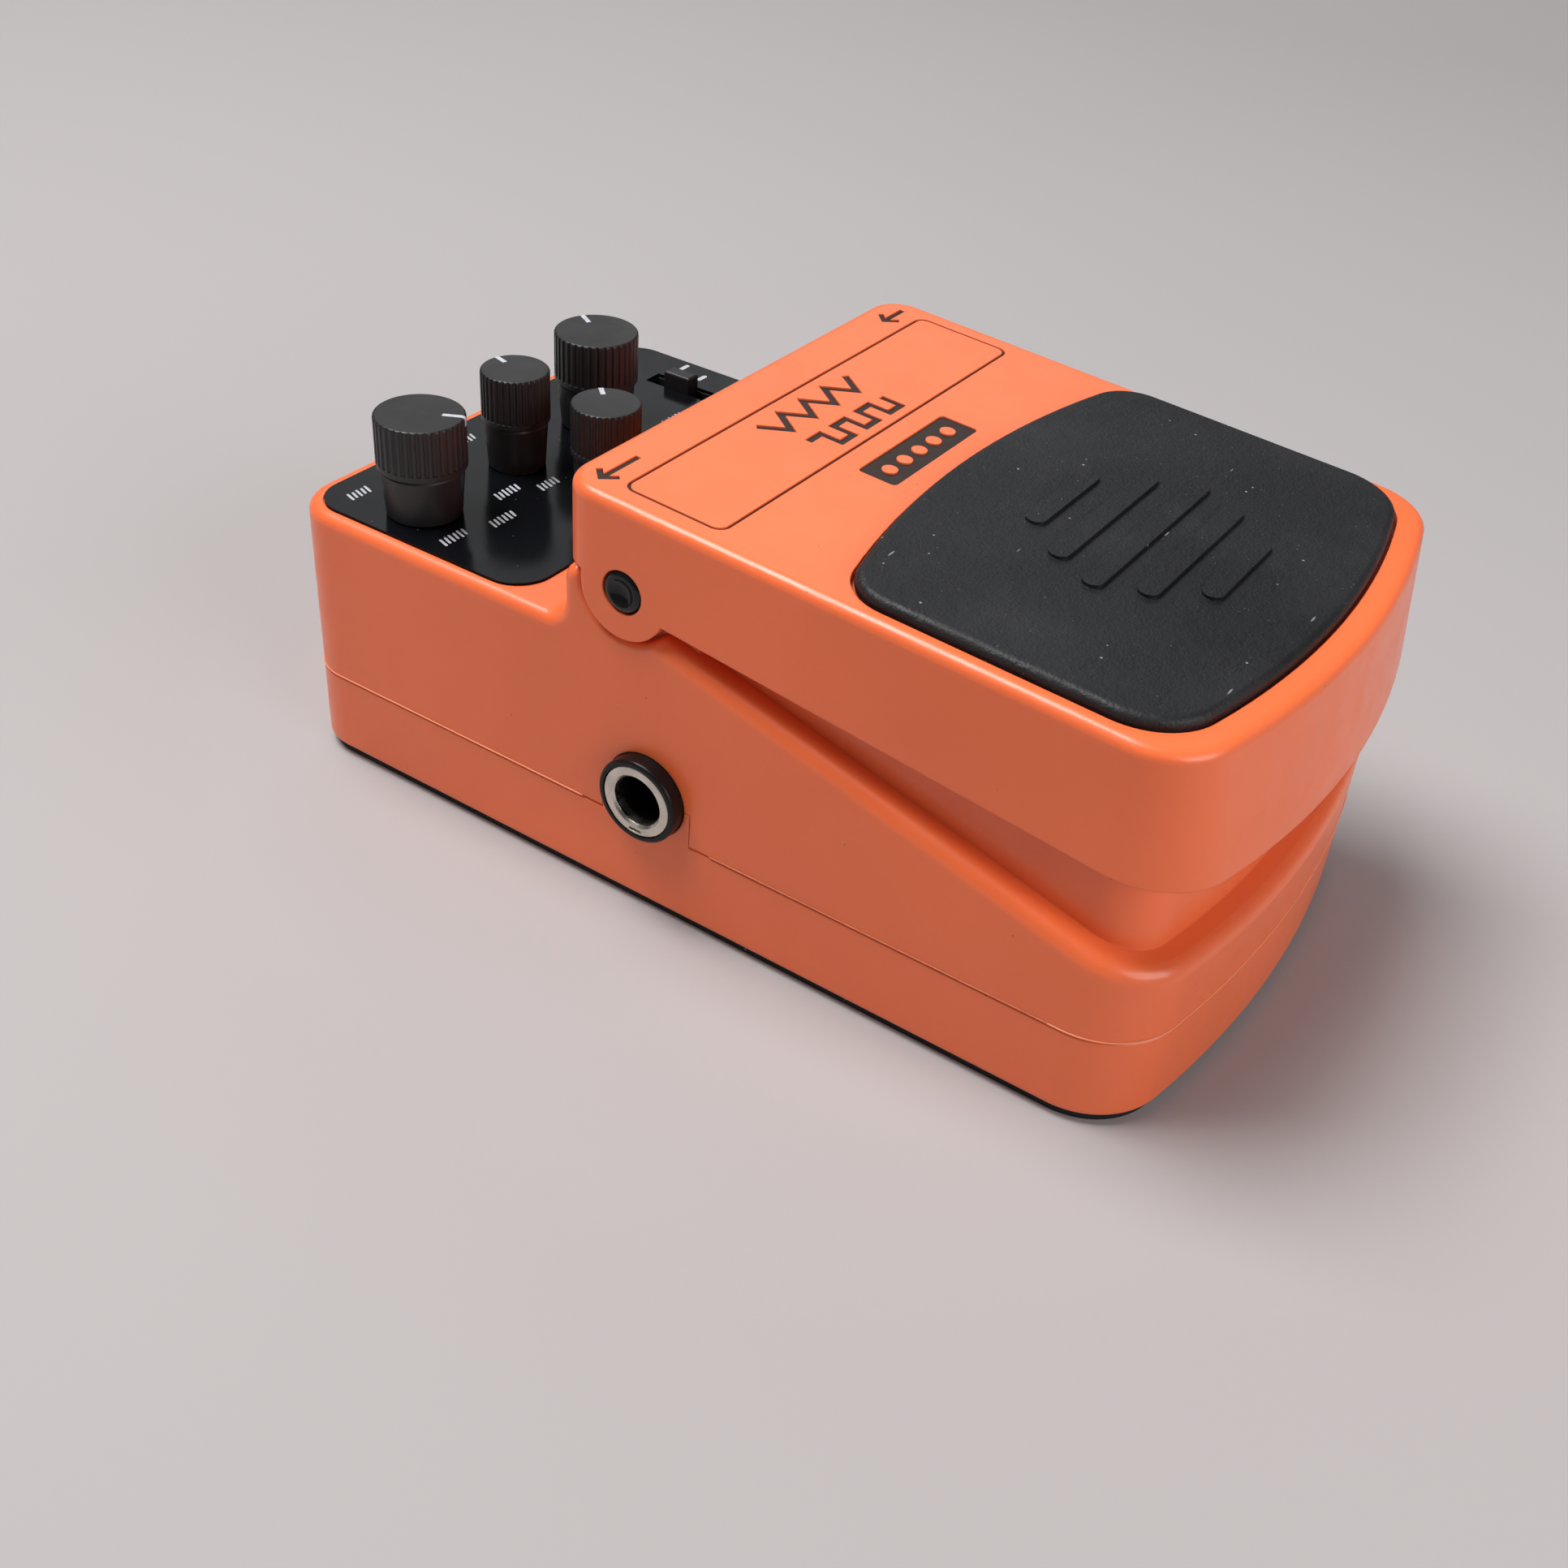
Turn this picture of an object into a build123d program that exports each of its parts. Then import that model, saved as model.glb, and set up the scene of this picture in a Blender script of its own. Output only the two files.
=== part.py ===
from build123d import *
from math import sqrt, radians, tan, cos, sin
import os

# Compact guitar effects pedal: two-part housing, sprung treadle on two push-in hinge pins,
# four-knob control panel, two quarter-inch jacks, battery under the treadle.
# Millimetres. +X is the input side, +Y points from the toe to the knobs, +Z is up.
# The origin is the middle of the base's flat face, on the surface that it stands on.

os.makedirs("parts", exist_ok=True)

# ---------------------------------------------------------------- driving dimensions
BODY_WIDTH = 67.0
LENGTH = 123.0
TOP_HEIGHT = 54.0
REAR_Y = LENGTH / 2
FRONT_Y = -LENGTH / 2
FRONT_BOW_RADIUS = 135.0
FRONT_CORNER = 9.6
REAR_CORNER = 6.6
WALL = 2.2

MAT_THICK = 1.2
MAT_INSET = 0.9
PARTING_Z = 12.4
PARTING_GAP = 0.15
FLOOR_THICK = 2.0

PANEL_Z = 35.4
RIM_Z = 35.55
ROOF_Z = 33.2
LABEL_THICK = 0.45
LABEL_HALF_WIDTH = 31.9
LABEL_Y = (24.7, 59.3)
LABEL_CORNER = 4.8

PIVOT_Y = 8.7
PIVOT_Z = 42.9
HUB_RADIUS = 5.8
HUB_GAP = 0.6
PIN_RADIUS = 2.6

RIDGE_Z = 37.54
RIDGE_SLOPE = 0.277
RIDGE_RADIUS = 2.0
RIM_RADIUS = 1.5
RECESS_EDGE_RADIUS = 0.8
SEAM_CHAMFER = 0.3
UPSTAND_Y = 17.6
UPSTAND_Z = 43.2
UPSTAND_FOOT_RADIUS = 2.8
UPSTAND_TOP_RADIUS = 1.9
BLOCK_INSET = 3.3
BLOCK_WALL = 1.8
BLOCK_Z = 48.9
BLOCK_SLOPE = 0.105

TREADLE_WIDTH = 68.0
# the treadle's front wall leans out towards its lower edge: (height, front, corner radius)
TREADLE_LAYERS = [(30.0, -63.5, 10.6), (55.0, -60.8, 7.0)]
TREADLE_BOW_RADIUS = 118.0
TREADLE_REAR_CORNER = 4.6
TREADLE_EDGE_RADIUS = 1.3
TREADLE_REAR_Y = 17.9
TREADLE_SLOPE = 0.0578
TREADLE_TOP_Z = TOP_HEIGHT - TREADLE_SLOPE * TREADLE_REAR_Y
TREADLE_SKIRT_Z = 40.2
TREADLE_SKIRT_SLOPE = 0.115
TREADLE_REAR_SKIRT_Z = 43.8
TREADLE_WALL = 2.0
TREADLE_ROOF = 2.2

PAD_HALF_WIDTH = 31.7
PAD_Y = (-58.1, -12.9)
PAD_BOW = 4.6
PAD_FRONT_CORNER = 8.0
PAD_REAR_CORNER = 6.0
PAD_GAP = 0.35
PAD_SINK = 1.0
PAD_RISE = 1.2
GRIP_BARS = [15.0, 24.0, 29.0, 24.0, 15.0]
GRIP_Y = -36.0
GRIP_PITCH = 5.2
GRIP_WIDTH = 2.4
GRIP_RISE = 0.45

BORDER_HALF_WIDTH = 31.0
BORDER_Y = (-2.0, 11.3)
LINE_WIDTH = 0.4
STROKE_WIDTH = 0.95
BAR_Y = -7.3
BAR_SIZE = (18.6, 5.0)
ENGRAVING = 0.35
PAINT_THICK = 0.15

JACK_Y = 5.2
JACK_Z = 17.0
JACK_BORE_R = 3.25
JACK_RING_R = 4.72
JACK_COLLAR_R = 5.45
JACK_FACE_X = 35.5
JACK_BODY_X = 31.05
RING_NOTCH_Y = 0.85
RING_NOTCH_R = (3.85, 4.25)
JACK_TAB_HALF = 6.4
JACK_BODY_LENGTH = 28.6
JACK_DEPTH = 32.0
JACK_CONTACTS = [(27.0, -1), (17.0, 1), (8.0, 1)]
FIT_GAP = 0.1

MAIN_BOARD_Z = 6.2
CONTROL_BOARD_Z = 23.0
BOARD_THICK = 1.6

SHAFT_RADIUS = 3.0
KNOB_BASE_Z = 36.1
KNOB_TOP_Z = 48.8
POT_HEIGHT = 6.8
FLUTES = 36
FLUTE_R = 0.3
SLIDER_TOP_Z = 38.0
# name: (x, y, cap radius)
KNOBS = {
    "level": (-25.0, 46.3, 5.5),
    "treble": (-8.0, 46.3, 4.35),
    "bass": (-8.0, 31.8, 4.35),
    "gain": (8.0, 46.3, 5.5),
}
SWITCH_X, SWITCH_Y = 24.5, 44.5
LIGHT_X, LIGHT_Y = 8.0, 31.0
LIGHT_RADIUS = 1.5

PLUNGER_X, PLUNGER_Y = -14.5, -38.0
PLUNGER_RADIUS = 2.6
SPRING_SEAT_Z = 34.0
SPRING_TOP_Z = 47.95
SWITCH_BOARD_Z = 18.4

SPRING_WELL_R = 6.6
SPRING_COIL_R = 5.0
SPRING_WIRE_R = 0.45
SLOT_LENGTH, SLOT_WIDTH = 10.0, 3.0
BEZEL_WALL = 0.4

HINGE_HALF_WIDTH = 31.2
HINGE_Y = (0.0, 14.6)
HINGE_TOP_Z = 48.6
PIN_RIB_X = 16.5
PIN_TAIL_R = 1.5
PIN_TAIL_X = 14.4
PIN_FACE_X = 34.15
PIN_COLLAR_X = 28.9
PIN_COLLAR_R = 3.7
PIN_WIRE_R = 0.3
DIMPLE_BALL_R = 2.3
DIMPLE_DEPTH = 0.75

TUB_X = (-0.1, 27.2)
TUB_WALL = 1.6
LEAD_SLOT_X = (1.6, 7.6)
LEAD_SLOT_Z = (31.5, 34.5)
TUB_FLOOR_Z = 24.4
TUB_REAR_Y = 2.0
BATTERY = (26.5, 46.4, 17.5)
BATTERY_X = 13.45
BATTERY_FRONT_Y = -50.6
FOAM_THICK = 0.8
LEAD_RADIUS = 0.65

POWER_X, POWER_Z = 16.0, 14.3
POWER_BORE_R = 2.95
POWER_NECK_R = 4.4

HOUSING_SCREWS = [(-26.5, -47.5), (26.5, -47.5), (-26.5, 54.4), (26.5, 54.4)]
MAIN_BOARD_POSTS = [(-24.0, -37.0), (24.0, -37.0), (-24.0, 42.0), (24.0, 42.0)]
CONTROL_BOARD_POSTS = [(-17.0, 29.0), (17.0, 29.0), (0.0, 49.5)]
SWITCH_BOARD_POSTS = [(-14.5, -24.5), (-14.5, -49.0)]
HOUSING_BOSS_Z = 4.0
PILOT_R = 1.0
BOARD_SCREW_R = 0.95
BIG = 200.0


# ---------------------------------------------------------------- shared outlines
def plan(half_width, front_y, rear_y, bow_radius, front_corner, rear_corner):
    """Plan view with straight sides, a bowed front edge and four round corners."""
    side_front = front_y + bow_radius - sqrt(bow_radius**2 - half_width**2)
    with BuildSketch(mode=Mode.PRIVATE) as outline:
        with BuildLine():
            Polyline(
                (-half_width, side_front),
                (-half_width, rear_y),
                (half_width, rear_y),
                (half_width, side_front),
            )
            ThreePointArc((-half_width, side_front), (0, front_y), (half_width, side_front))
        make_face()
        rows = outline.vertices().group_by(Axis.Y)
        fillet(rows[0], front_corner)
        rows = [v for v in outline.vertices() if v.Y > rear_y - 0.01]
        fillet(rows, rear_corner)
    return outline.sketch


def body_plan(inset):
    """The housing's plan, moved in by inset all round."""
    return plan(
        BODY_WIDTH / 2 - inset,
        FRONT_Y + inset,
        REAR_Y - inset,
        FRONT_BOW_RADIUS - inset,
        max(FRONT_CORNER - inset, 1.0),
        max(REAR_CORNER - inset, 1.0),
    )


def treadle_block(inset):
    """The treadle's outside as a solid block, moved in by inset all round."""
    with BuildPart(mode=Mode.PRIVATE) as block:
        for height, front_y, corner in TREADLE_LAYERS:
            with BuildSketch(Plane.XY.offset(height)):
                add(
                    plan(
                        TREADLE_WIDTH / 2 - inset,
                        front_y + inset,
                        TREADLE_REAR_Y - inset,
                        TREADLE_BOW_RADIUS - inset,
                        corner - inset,
                        TREADLE_REAR_CORNER - inset,
                    )
                )
        loft(ruled=True)
    return block.part


def prism(outline, low, high):
    """A plan outline extruded from height low to height high."""
    with BuildPart(mode=Mode.PRIVATE) as block:
        with BuildSketch(Plane.XY.offset(low)):
            add(outline)
        extrude(amount=high - low)
    return block.part


def side_prism(points, half_width):
    """A closed (y, z) outline extruded both ways along X."""
    with BuildPart(mode=Mode.PRIVATE) as block:
        with BuildSketch(Plane.YZ):
            with BuildLine():
                Polyline(*points, close=True)
            make_face()
        extrude(amount=half_width, both=True)
    return block.part


def rod(x, y, low, high, radius):
    """An upright round bar."""
    with BuildPart(mode=Mode.PRIVATE) as bar:
        with BuildSketch(Plane.XY.offset(low)):
            with Locations((x, y)):
                Circle(radius)
        extrude(amount=high - low)
    return bar.part


def cross_rod(start_x, end_x, y, z, radius):
    """A round bar along X."""
    low, high = sorted((start_x, end_x))
    with BuildPart(mode=Mode.PRIVATE) as bar:
        with BuildSketch(Plane.YZ.offset(low)):
            with Locations((y, z)):
                Circle(radius)
        extrude(amount=high - low)
    return bar.part


def slab(x_range, y_range, z_range):
    """A plain box given by its limits."""
    with BuildPart(mode=Mode.PRIVATE) as block:
        with BuildSketch(Plane.XY.offset(z_range[0])):
            with Locations(((x_range[0] + x_range[1]) / 2, (y_range[0] + y_range[1]) / 2)):
                Rectangle(x_range[1] - x_range[0], y_range[1] - y_range[0])
        extrude(amount=z_range[1] - z_range[0])
    return block.part


def ridge_z(y):
    return RIDGE_Z + RIDGE_SLOPE * y


def block_z(y):
    return BLOCK_Z + BLOCK_SLOPE * y


def treadle_top_z(y):
    return TREADLE_TOP_Z + TREADLE_SLOPE * y


def skirt_z(y):
    return TREADLE_SKIRT_Z + TREADLE_SKIRT_SLOPE * y


def save(piece, name):
    piece.label = name
    export_step(piece, "parts/" + name + ".step")


TREADLE_PLANE = Plane(
    origin=(0, 0, TREADLE_TOP_Z),
    x_dir=(1, 0, 0),
    z_dir=(0, -TREADLE_SLOPE, 1),
)

# ---------------------------------------------------------------- lower housing
shell_low = MAT_THICK
main_board_top = MAIN_BOARD_Z + BOARD_THICK
lower_top = PARTING_Z - PARTING_GAP / 2
tab_half = JACK_TAB_HALF - FIT_GAP

with BuildPart() as lower_housing:
    add(prism(body_plan(0), shell_low, lower_top))
    fillet(lower_housing.faces().sort_by(Axis.Z)[0].edges(), 0.8)
    chamfer(lower_housing.faces().sort_by(Axis.Z)[-1].edges(), SEAM_CHAMFER)
    add(prism(body_plan(WALL), shell_low + FLOOR_THICK, lower_top + 1), mode=Mode.SUBTRACT)
    # tongue that stands up inside the upper housing's wall
    add(prism(body_plan(WALL - 0.5), lower_top - 4, lower_top))
    add(prism(body_plan(WALL + FIT_GAP), lower_top - 4, lower_top + 1.6))
    add(prism(body_plan(WALL + 1.3), lower_top - 5, lower_top + 2), mode=Mode.SUBTRACT)
    for side in (-1, 1):
        wall_x = sorted((side * BODY_WIDTH / 2, side * (BODY_WIDTH / 2 - WALL)))
        add(slab(wall_x, (JACK_Y - tab_half, JACK_Y + tab_half), (lower_top - 1, JACK_Z - 0.1)))
    for x, y in HOUSING_SCREWS:
        add(rod(x, y, shell_low, shell_low + FLOOR_THICK + 0.6, 4.0))
        add(rod(x, y, shell_low, shell_low + 1.4, 2.9), mode=Mode.SUBTRACT)
        add(rod(x, y, shell_low, 10, 1.6), mode=Mode.SUBTRACT)
    for x, y in MAIN_BOARD_POSTS:
        add(rod(x, y, shell_low + FLOOR_THICK, MAIN_BOARD_Z, 2.6))
        add(rod(x, y, shell_low + 1.2, MAIN_BOARD_Z + 1, PILOT_R), mode=Mode.SUBTRACT)
    # the tongue leaves room for the three jacks
    tongue_z = (main_board_top - 0.1, lower_top + 2)
    jack_room_x = (-(BODY_WIDTH / 2 - WALL - 0.05), BODY_WIDTH / 2 - WALL - 0.05)
    add(slab(jack_room_x, (JACK_Y - 7.2, JACK_Y + 7.2), tongue_z), mode=Mode.SUBTRACT)
    power_room_x = (POWER_X - 4.8, POWER_X + 4.8)
    add(slab(power_room_x, (REAR_Y - 8, REAR_Y - WALL), tongue_z), mode=Mode.SUBTRACT)
    # jack necks and the power jack's neck pass through the walls
    add(cross_rod(-BIG, BIG, JACK_Y, JACK_Z, JACK_COLLAR_R + FIT_GAP), mode=Mode.SUBTRACT)
    with BuildSketch(Plane.XZ.offset(-REAR_Y - 1)):
        with Locations((POWER_X, POWER_Z)):
            Circle(POWER_NECK_R + FIT_GAP)
    extrude(amount=6, mode=Mode.SUBTRACT)
save(lower_housing.part, "lower_housing")

# ---------------------------------------------------------------- upper housing
upper_low = PARTING_Z + PARTING_GAP / 2
recess_r = HUB_RADIUS + HUB_GAP
half_body = BODY_WIDTH / 2
hub_cut = recess_r * sin(radians(45))

with BuildPart() as upper_housing:
    # side walls up to the sloping ridge, round the treadle hubs and back to the panel
    with BuildSketch(Plane.YZ):
        with BuildLine():
            Polyline(
                (PIVOT_Y - hub_cut, PIVOT_Z - hub_cut),
                (-70, ridge_z(-70)),
                (-70, upper_low),
                (70, upper_low),
                (70, RIM_Z),
                (UPSTAND_Y, RIM_Z),
                (UPSTAND_Y, UPSTAND_Z),
                (PIVOT_Y + recess_r, UPSTAND_Z),
                (PIVOT_Y + recess_r, PIVOT_Z),
            )
            ThreePointArc(
                (PIVOT_Y + recess_r, PIVOT_Z),
                (PIVOT_Y + 0.5 * recess_r, PIVOT_Z - recess_r * cos(radians(30))),
                (PIVOT_Y - hub_cut, PIVOT_Z - hub_cut),
            )
        make_face()
    extrude(amount=half_body + 5, both=True)
    add(prism(body_plan(0), upper_low, 60), mode=Mode.INTERSECT)
    # round the foot of the upstand, the ridge, the rim with the upstand's corners, the hub recess
    upstand_foot = [
        e
        for e in upper_housing.edges().filter_by(Axis.X)
        if abs(e.center().Z - RIM_Z) < 0.01 and abs(e.center().Y - UPSTAND_Y) < 0.01
    ]
    fillet(upstand_foot, UPSTAND_FOOT_RADIUS)
    upstand_top = [e for e in upper_housing.edges().filter_by(Axis.X) if abs(e.center().Z - UPSTAND_Z) < 0.01]
    fillet(max(upstand_top, key=lambda e: e.center().Y), UPSTAND_TOP_RADIUS)
    ridge = [
        e
        for e in upper_housing.edges()
        if e.center().Y < PIVOT_Y - hub_cut
        and e.length > 3
        and abs(e.center().Z - ridge_z(e.center().Y)) < 1.5
        and not (abs(e.center().X) < 1 and e.center().Y > -20)
    ]
    fillet(ridge, RIDGE_RADIUS)
    rim = [
        e
        for e in upper_housing.edges()
        if e.center().Y > PIVOT_Y + recess_r + 0.7
        and e.center().Z > RIM_Z - 0.01
        and (abs(e.center().X) > BODY_WIDTH / 2 - 0.01 or e.center().Y > UPSTAND_Y + 10)
    ]
    fillet(rim, RIM_RADIUS)
    recess = [
        e
        for e in upper_housing.edges().filter_by(GeomType.CIRCLE)
        if abs(e.radius - recess_r) < 0.01 and abs(e.center().X) > BODY_WIDTH / 2 - 1
    ]
    fillet(recess, RECESS_EDGE_RADIUS)
    # inner block that stands up inside the treadle, and the hinge block behind it
    block_top = side_prism(
        [(-70, upper_low), (-70, block_z(-70)), (HINGE_Y[0] + 1, block_z(HINGE_Y[0] + 1)),
         (HINGE_Y[0] + 1, upper_low)],
        BODY_WIDTH / 2,
    )
    add(prism(body_plan(BLOCK_INSET), upper_low, 60) & block_top)
    hinge_x = (-HINGE_HALF_WIDTH, HINGE_HALF_WIDTH)
    add(slab(hinge_x, HINGE_Y, (PIVOT_Z - recess_r - 4, HINGE_TOP_Z)))

    # hollow underneath: side walls, panel, left half of the inner block, hinge block
    shell_space = side_prism(
        [(-70, 0), (-70, ridge_z(-70) - 2.6), (0, 33.8), (17, ROOF_Z), (70, ROOF_Z), (70, 0)],
        BODY_WIDTH / 2,
    )
    add(prism(body_plan(WALL), 0, 60) & shell_space, mode=Mode.SUBTRACT)
    block_space = side_prism(
        [(-70, 0), (-70, block_z(-70) - 2), (-1, block_z(-1) - 2), (-1, 0)],
        BODY_WIDTH / 2,
    )
    add(
        prism(body_plan(BLOCK_INSET + BLOCK_WALL), 0, 60) & block_space,
        mode=Mode.SUBTRACT,
    )
    hinge_space_x = (-HINGE_HALF_WIDTH + WALL, HINGE_HALF_WIDTH - WALL)
    hinge_space_y = (HINGE_Y[0] + 2, HINGE_Y[1] - 2)
    add(slab(hinge_space_x, hinge_space_y, (30, HINGE_TOP_Z - 2)), mode=Mode.SUBTRACT)

    # battery tub in the right half of the inner block, open at the top
    tub_shape = side_prism(
        [(-70, TUB_FLOOR_Z - TUB_WALL), (-70, block_z(-70)),
         (TUB_REAR_Y + TUB_WALL, block_z(TUB_REAR_Y + TUB_WALL)),
         (TUB_REAR_Y + TUB_WALL, TUB_FLOOR_Z - TUB_WALL)],
        BODY_WIDTH / 2,
    )
    tub_box = slab((TUB_X[0] - TUB_WALL, BODY_WIDTH / 2), (-70, TUB_REAR_Y + TUB_WALL), (0, 60))
    add(prism(body_plan(BLOCK_INSET), 0, 60) & tub_shape & tub_box)
    tub_hollow = slab((TUB_X[0], TUB_X[1]), (-70, TUB_REAR_Y), (TUB_FLOOR_Z, 60))
    add(prism(body_plan(BLOCK_INSET + BLOCK_WALL), 0, 60) & tub_hollow, mode=Mode.SUBTRACT)
    add(slab(LEAD_SLOT_X, (TUB_REAR_Y - 1, TUB_REAR_Y + TUB_WALL + 0.5), LEAD_SLOT_Z), mode=Mode.SUBTRACT)

    # ribs that carry the tails of the hinge pins, and the bores of the pins
    for side in (-1, 1):
        rib_x = sorted((side * PIN_RIB_X, side * (PIN_RIB_X + 2)))
        add(slab(rib_x, (TUB_REAR_Y + 0.6, HINGE_Y[1] - 1), (36, HINGE_TOP_Z - 1)))
    add(cross_rod(-BIG, BIG, PIVOT_Y, PIVOT_Z, PIN_TAIL_R + 0.1), mode=Mode.SUBTRACT)
    for side in (-1, 1):
        bore_start = side * (HINGE_HALF_WIDTH - WALL - 1)
        bore = cross_rod(bore_start, side * BIG, PIVOT_Y, PIVOT_Z, PIN_RADIUS + 0.06)
        add(bore, mode=Mode.SUBTRACT)

    # well for the treadle spring, with the plunger's guide in its floor
    well_top = block_z(PLUNGER_Y) - 1
    add(rod(PLUNGER_X, PLUNGER_Y, SPRING_SEAT_Z - 1.6, well_top, SPRING_WELL_R + 1.6))
    add(rod(PLUNGER_X, PLUNGER_Y, SPRING_SEAT_Z, 60, SPRING_WELL_R), mode=Mode.SUBTRACT)
    add(rod(PLUNGER_X, PLUNGER_Y, 25, 60, PLUNGER_RADIUS + FIT_GAP), mode=Mode.SUBTRACT)

    # bosses for the screws
    for x, y in HOUSING_SCREWS:
        roof = ridge_z(y) - 1 if y < 0 else RIM_Z - 1
        add(rod(x, y, HOUSING_BOSS_Z, roof, 2.8))
        add(rod(x, y, HOUSING_BOSS_Z - 1, HOUSING_BOSS_Z + 9, 1.3), mode=Mode.SUBTRACT)
    for x, y in CONTROL_BOARD_POSTS:
        add(rod(x, y, CONTROL_BOARD_Z + BOARD_THICK, RIM_Z - 1.5, 2.4))
        add(rod(x, y, CONTROL_BOARD_Z, CONTROL_BOARD_Z + 7, PILOT_R), mode=Mode.SUBTRACT)
    for x, y in SWITCH_BOARD_POSTS:
        add(rod(x, y, SWITCH_BOARD_Z + BOARD_THICK, block_z(y) - 1, 2.4))
        add(rod(x, y, SWITCH_BOARD_Z, SWITCH_BOARD_Z + 7, PILOT_R), mode=Mode.SUBTRACT)

    # control panel: label recess, shaft holes, light hole, switch slot
    with BuildSketch(Plane.XY.offset(PANEL_Z)):
        with Locations((0, sum(LABEL_Y) / 2)):
            RectangleRounded(2 * LABEL_HALF_WIDTH + 0.2, LABEL_Y[1] - LABEL_Y[0] + 0.2, LABEL_CORNER)
    extrude(amount=5, mode=Mode.SUBTRACT)
    for x, y, cap_radius in KNOBS.values():
        add(rod(x, y, 30, 40, SHAFT_RADIUS + 0.4), mode=Mode.SUBTRACT)
    add(rod(LIGHT_X, LIGHT_Y, 30, 40, LIGHT_RADIUS + FIT_GAP), mode=Mode.SUBTRACT)
    slot_y = (SWITCH_Y - SLOT_LENGTH / 2 - BEZEL_WALL, SWITCH_Y + SLOT_LENGTH / 2 + BEZEL_WALL)
    slot_x = (SWITCH_X - SLOT_WIDTH / 2 - BEZEL_WALL, SWITCH_X + SLOT_WIDTH / 2 + BEZEL_WALL)
    add(slab(slot_x, slot_y, (30, 40)), mode=Mode.SUBTRACT)

    # openings for the jack necks and the tabs of the lower housing, and for the power jack
    for side in (-1, 1):
        wall_x = sorted((side * (BODY_WIDTH / 2 - WALL - 0.05), side * BIG))
        tab_y = (JACK_Y - JACK_TAB_HALF, JACK_Y + JACK_TAB_HALF)
        add(slab(wall_x, tab_y, (0, JACK_Z)), mode=Mode.SUBTRACT)
    add(cross_rod(-BIG, BIG, JACK_Y, JACK_Z, JACK_COLLAR_R + FIT_GAP), mode=Mode.SUBTRACT)
    with BuildSketch(Plane.XZ.offset(-REAR_Y - 1)):
        with Locations((POWER_X, POWER_Z)):
            Circle(POWER_NECK_R + FIT_GAP)
    extrude(amount=6, mode=Mode.SUBTRACT)
save(upper_housing.part, "upper_housing")

# ---------------------------------------------------------------- rubber base mat
with BuildPart() as base_mat:
    add(prism(body_plan(MAT_INSET), 0, MAT_THICK))
save(base_mat.part, "base_mat")


# ---------------------------------------------------------------- treadle
def pad_plan(grow):
    """Outline of the rubber pad: straight sides, bowed front and rear edges, round corners."""
    half = PAD_HALF_WIDTH + grow
    rear, front = PAD_Y[1] + grow, PAD_Y[0] - grow
    with BuildSketch(mode=Mode.PRIVATE) as outline:
        with BuildLine():
            Line((-half, front + PAD_BOW), (-half, rear - PAD_BOW))
            ThreePointArc((-half, rear - PAD_BOW), (0, rear), (half, rear - PAD_BOW))
            Line((half, rear - PAD_BOW), (half, front + PAD_BOW))
            ThreePointArc((half, front + PAD_BOW), (0, front), (-half, front + PAD_BOW))
        make_face()
        corners = outline.vertices().sort_by(Axis.Y)
        fillet(corners[:2], PAD_FRONT_CORNER + grow)
        corners = outline.vertices().sort_by(Axis.Y)
        fillet(corners[-2:], PAD_REAR_CORNER + grow)
    return outline.sketch


def stroke(points, width):
    """A flat line of the given width through the points."""
    with BuildSketch(mode=Mode.PRIVATE) as mark:
        with BuildLine():
            Polyline(*points)
        trace(line_width=width)
    return mark.sketch


def wave(middle_y, half_height, half_length, steps, square):
    """Corner points of a triangle or square wave."""
    pitch = 2 * half_length / steps
    points = []
    for step in range(steps + 1):
        x = -half_length + step * pitch
        height = half_height if step % 2 == 0 else -half_height
        if square and step > 0:
            points.append((x, middle_y - height))
        points.append((x, middle_y + height))
    return points


def arrow(tip_x, tail_x, y, head):
    """Strokes of an arrow along X."""
    way = 1 if tail_x > tip_x else -1
    return [
        [(tail_x, y), (tip_x, y)],
        [(tip_x + way * head, y + head), (tip_x, y), (tip_x + way * head, y - head)],
    ]


def markings_plan():
    """Everything engraved in the treadle: border line, two waves, a dotted bar, two arrows."""
    border_y = sum(BORDER_Y) / 2
    border_height = BORDER_Y[1] - BORDER_Y[0]
    with BuildSketch(mode=Mode.PRIVATE) as marks:
        with Locations((0, border_y)):
            RectangleRounded(2 * BORDER_HALF_WIDTH, border_height, 1.6)
            inner = (2 * (BORDER_HALF_WIDTH - LINE_WIDTH), border_height - 2 * LINE_WIDTH)
            RectangleRounded(*inner, 1.6 - LINE_WIDTH, mode=Mode.SUBTRACT)
        add(stroke(wave(7.3, 1.6, 9.3, 8, False), STROKE_WIDTH))
        add(stroke(wave(1.4, 1.4, 7.8, 6, True), STROKE_WIDTH))
        with Locations((0, BAR_Y)):
            RectangleRounded(BAR_SIZE[0], BAR_SIZE[1], 0.6)
            with GridLocations(3.2, 1, 5, 1):
                Circle(0.95, mode=Mode.SUBTRACT)
        for line in arrow(-31.0, -24.5, 14.0, 1.4) + arrow(26.4, 31.0, 14.0, 1.4):
            add(stroke(line, 0.75))
    return marks.sketch


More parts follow.
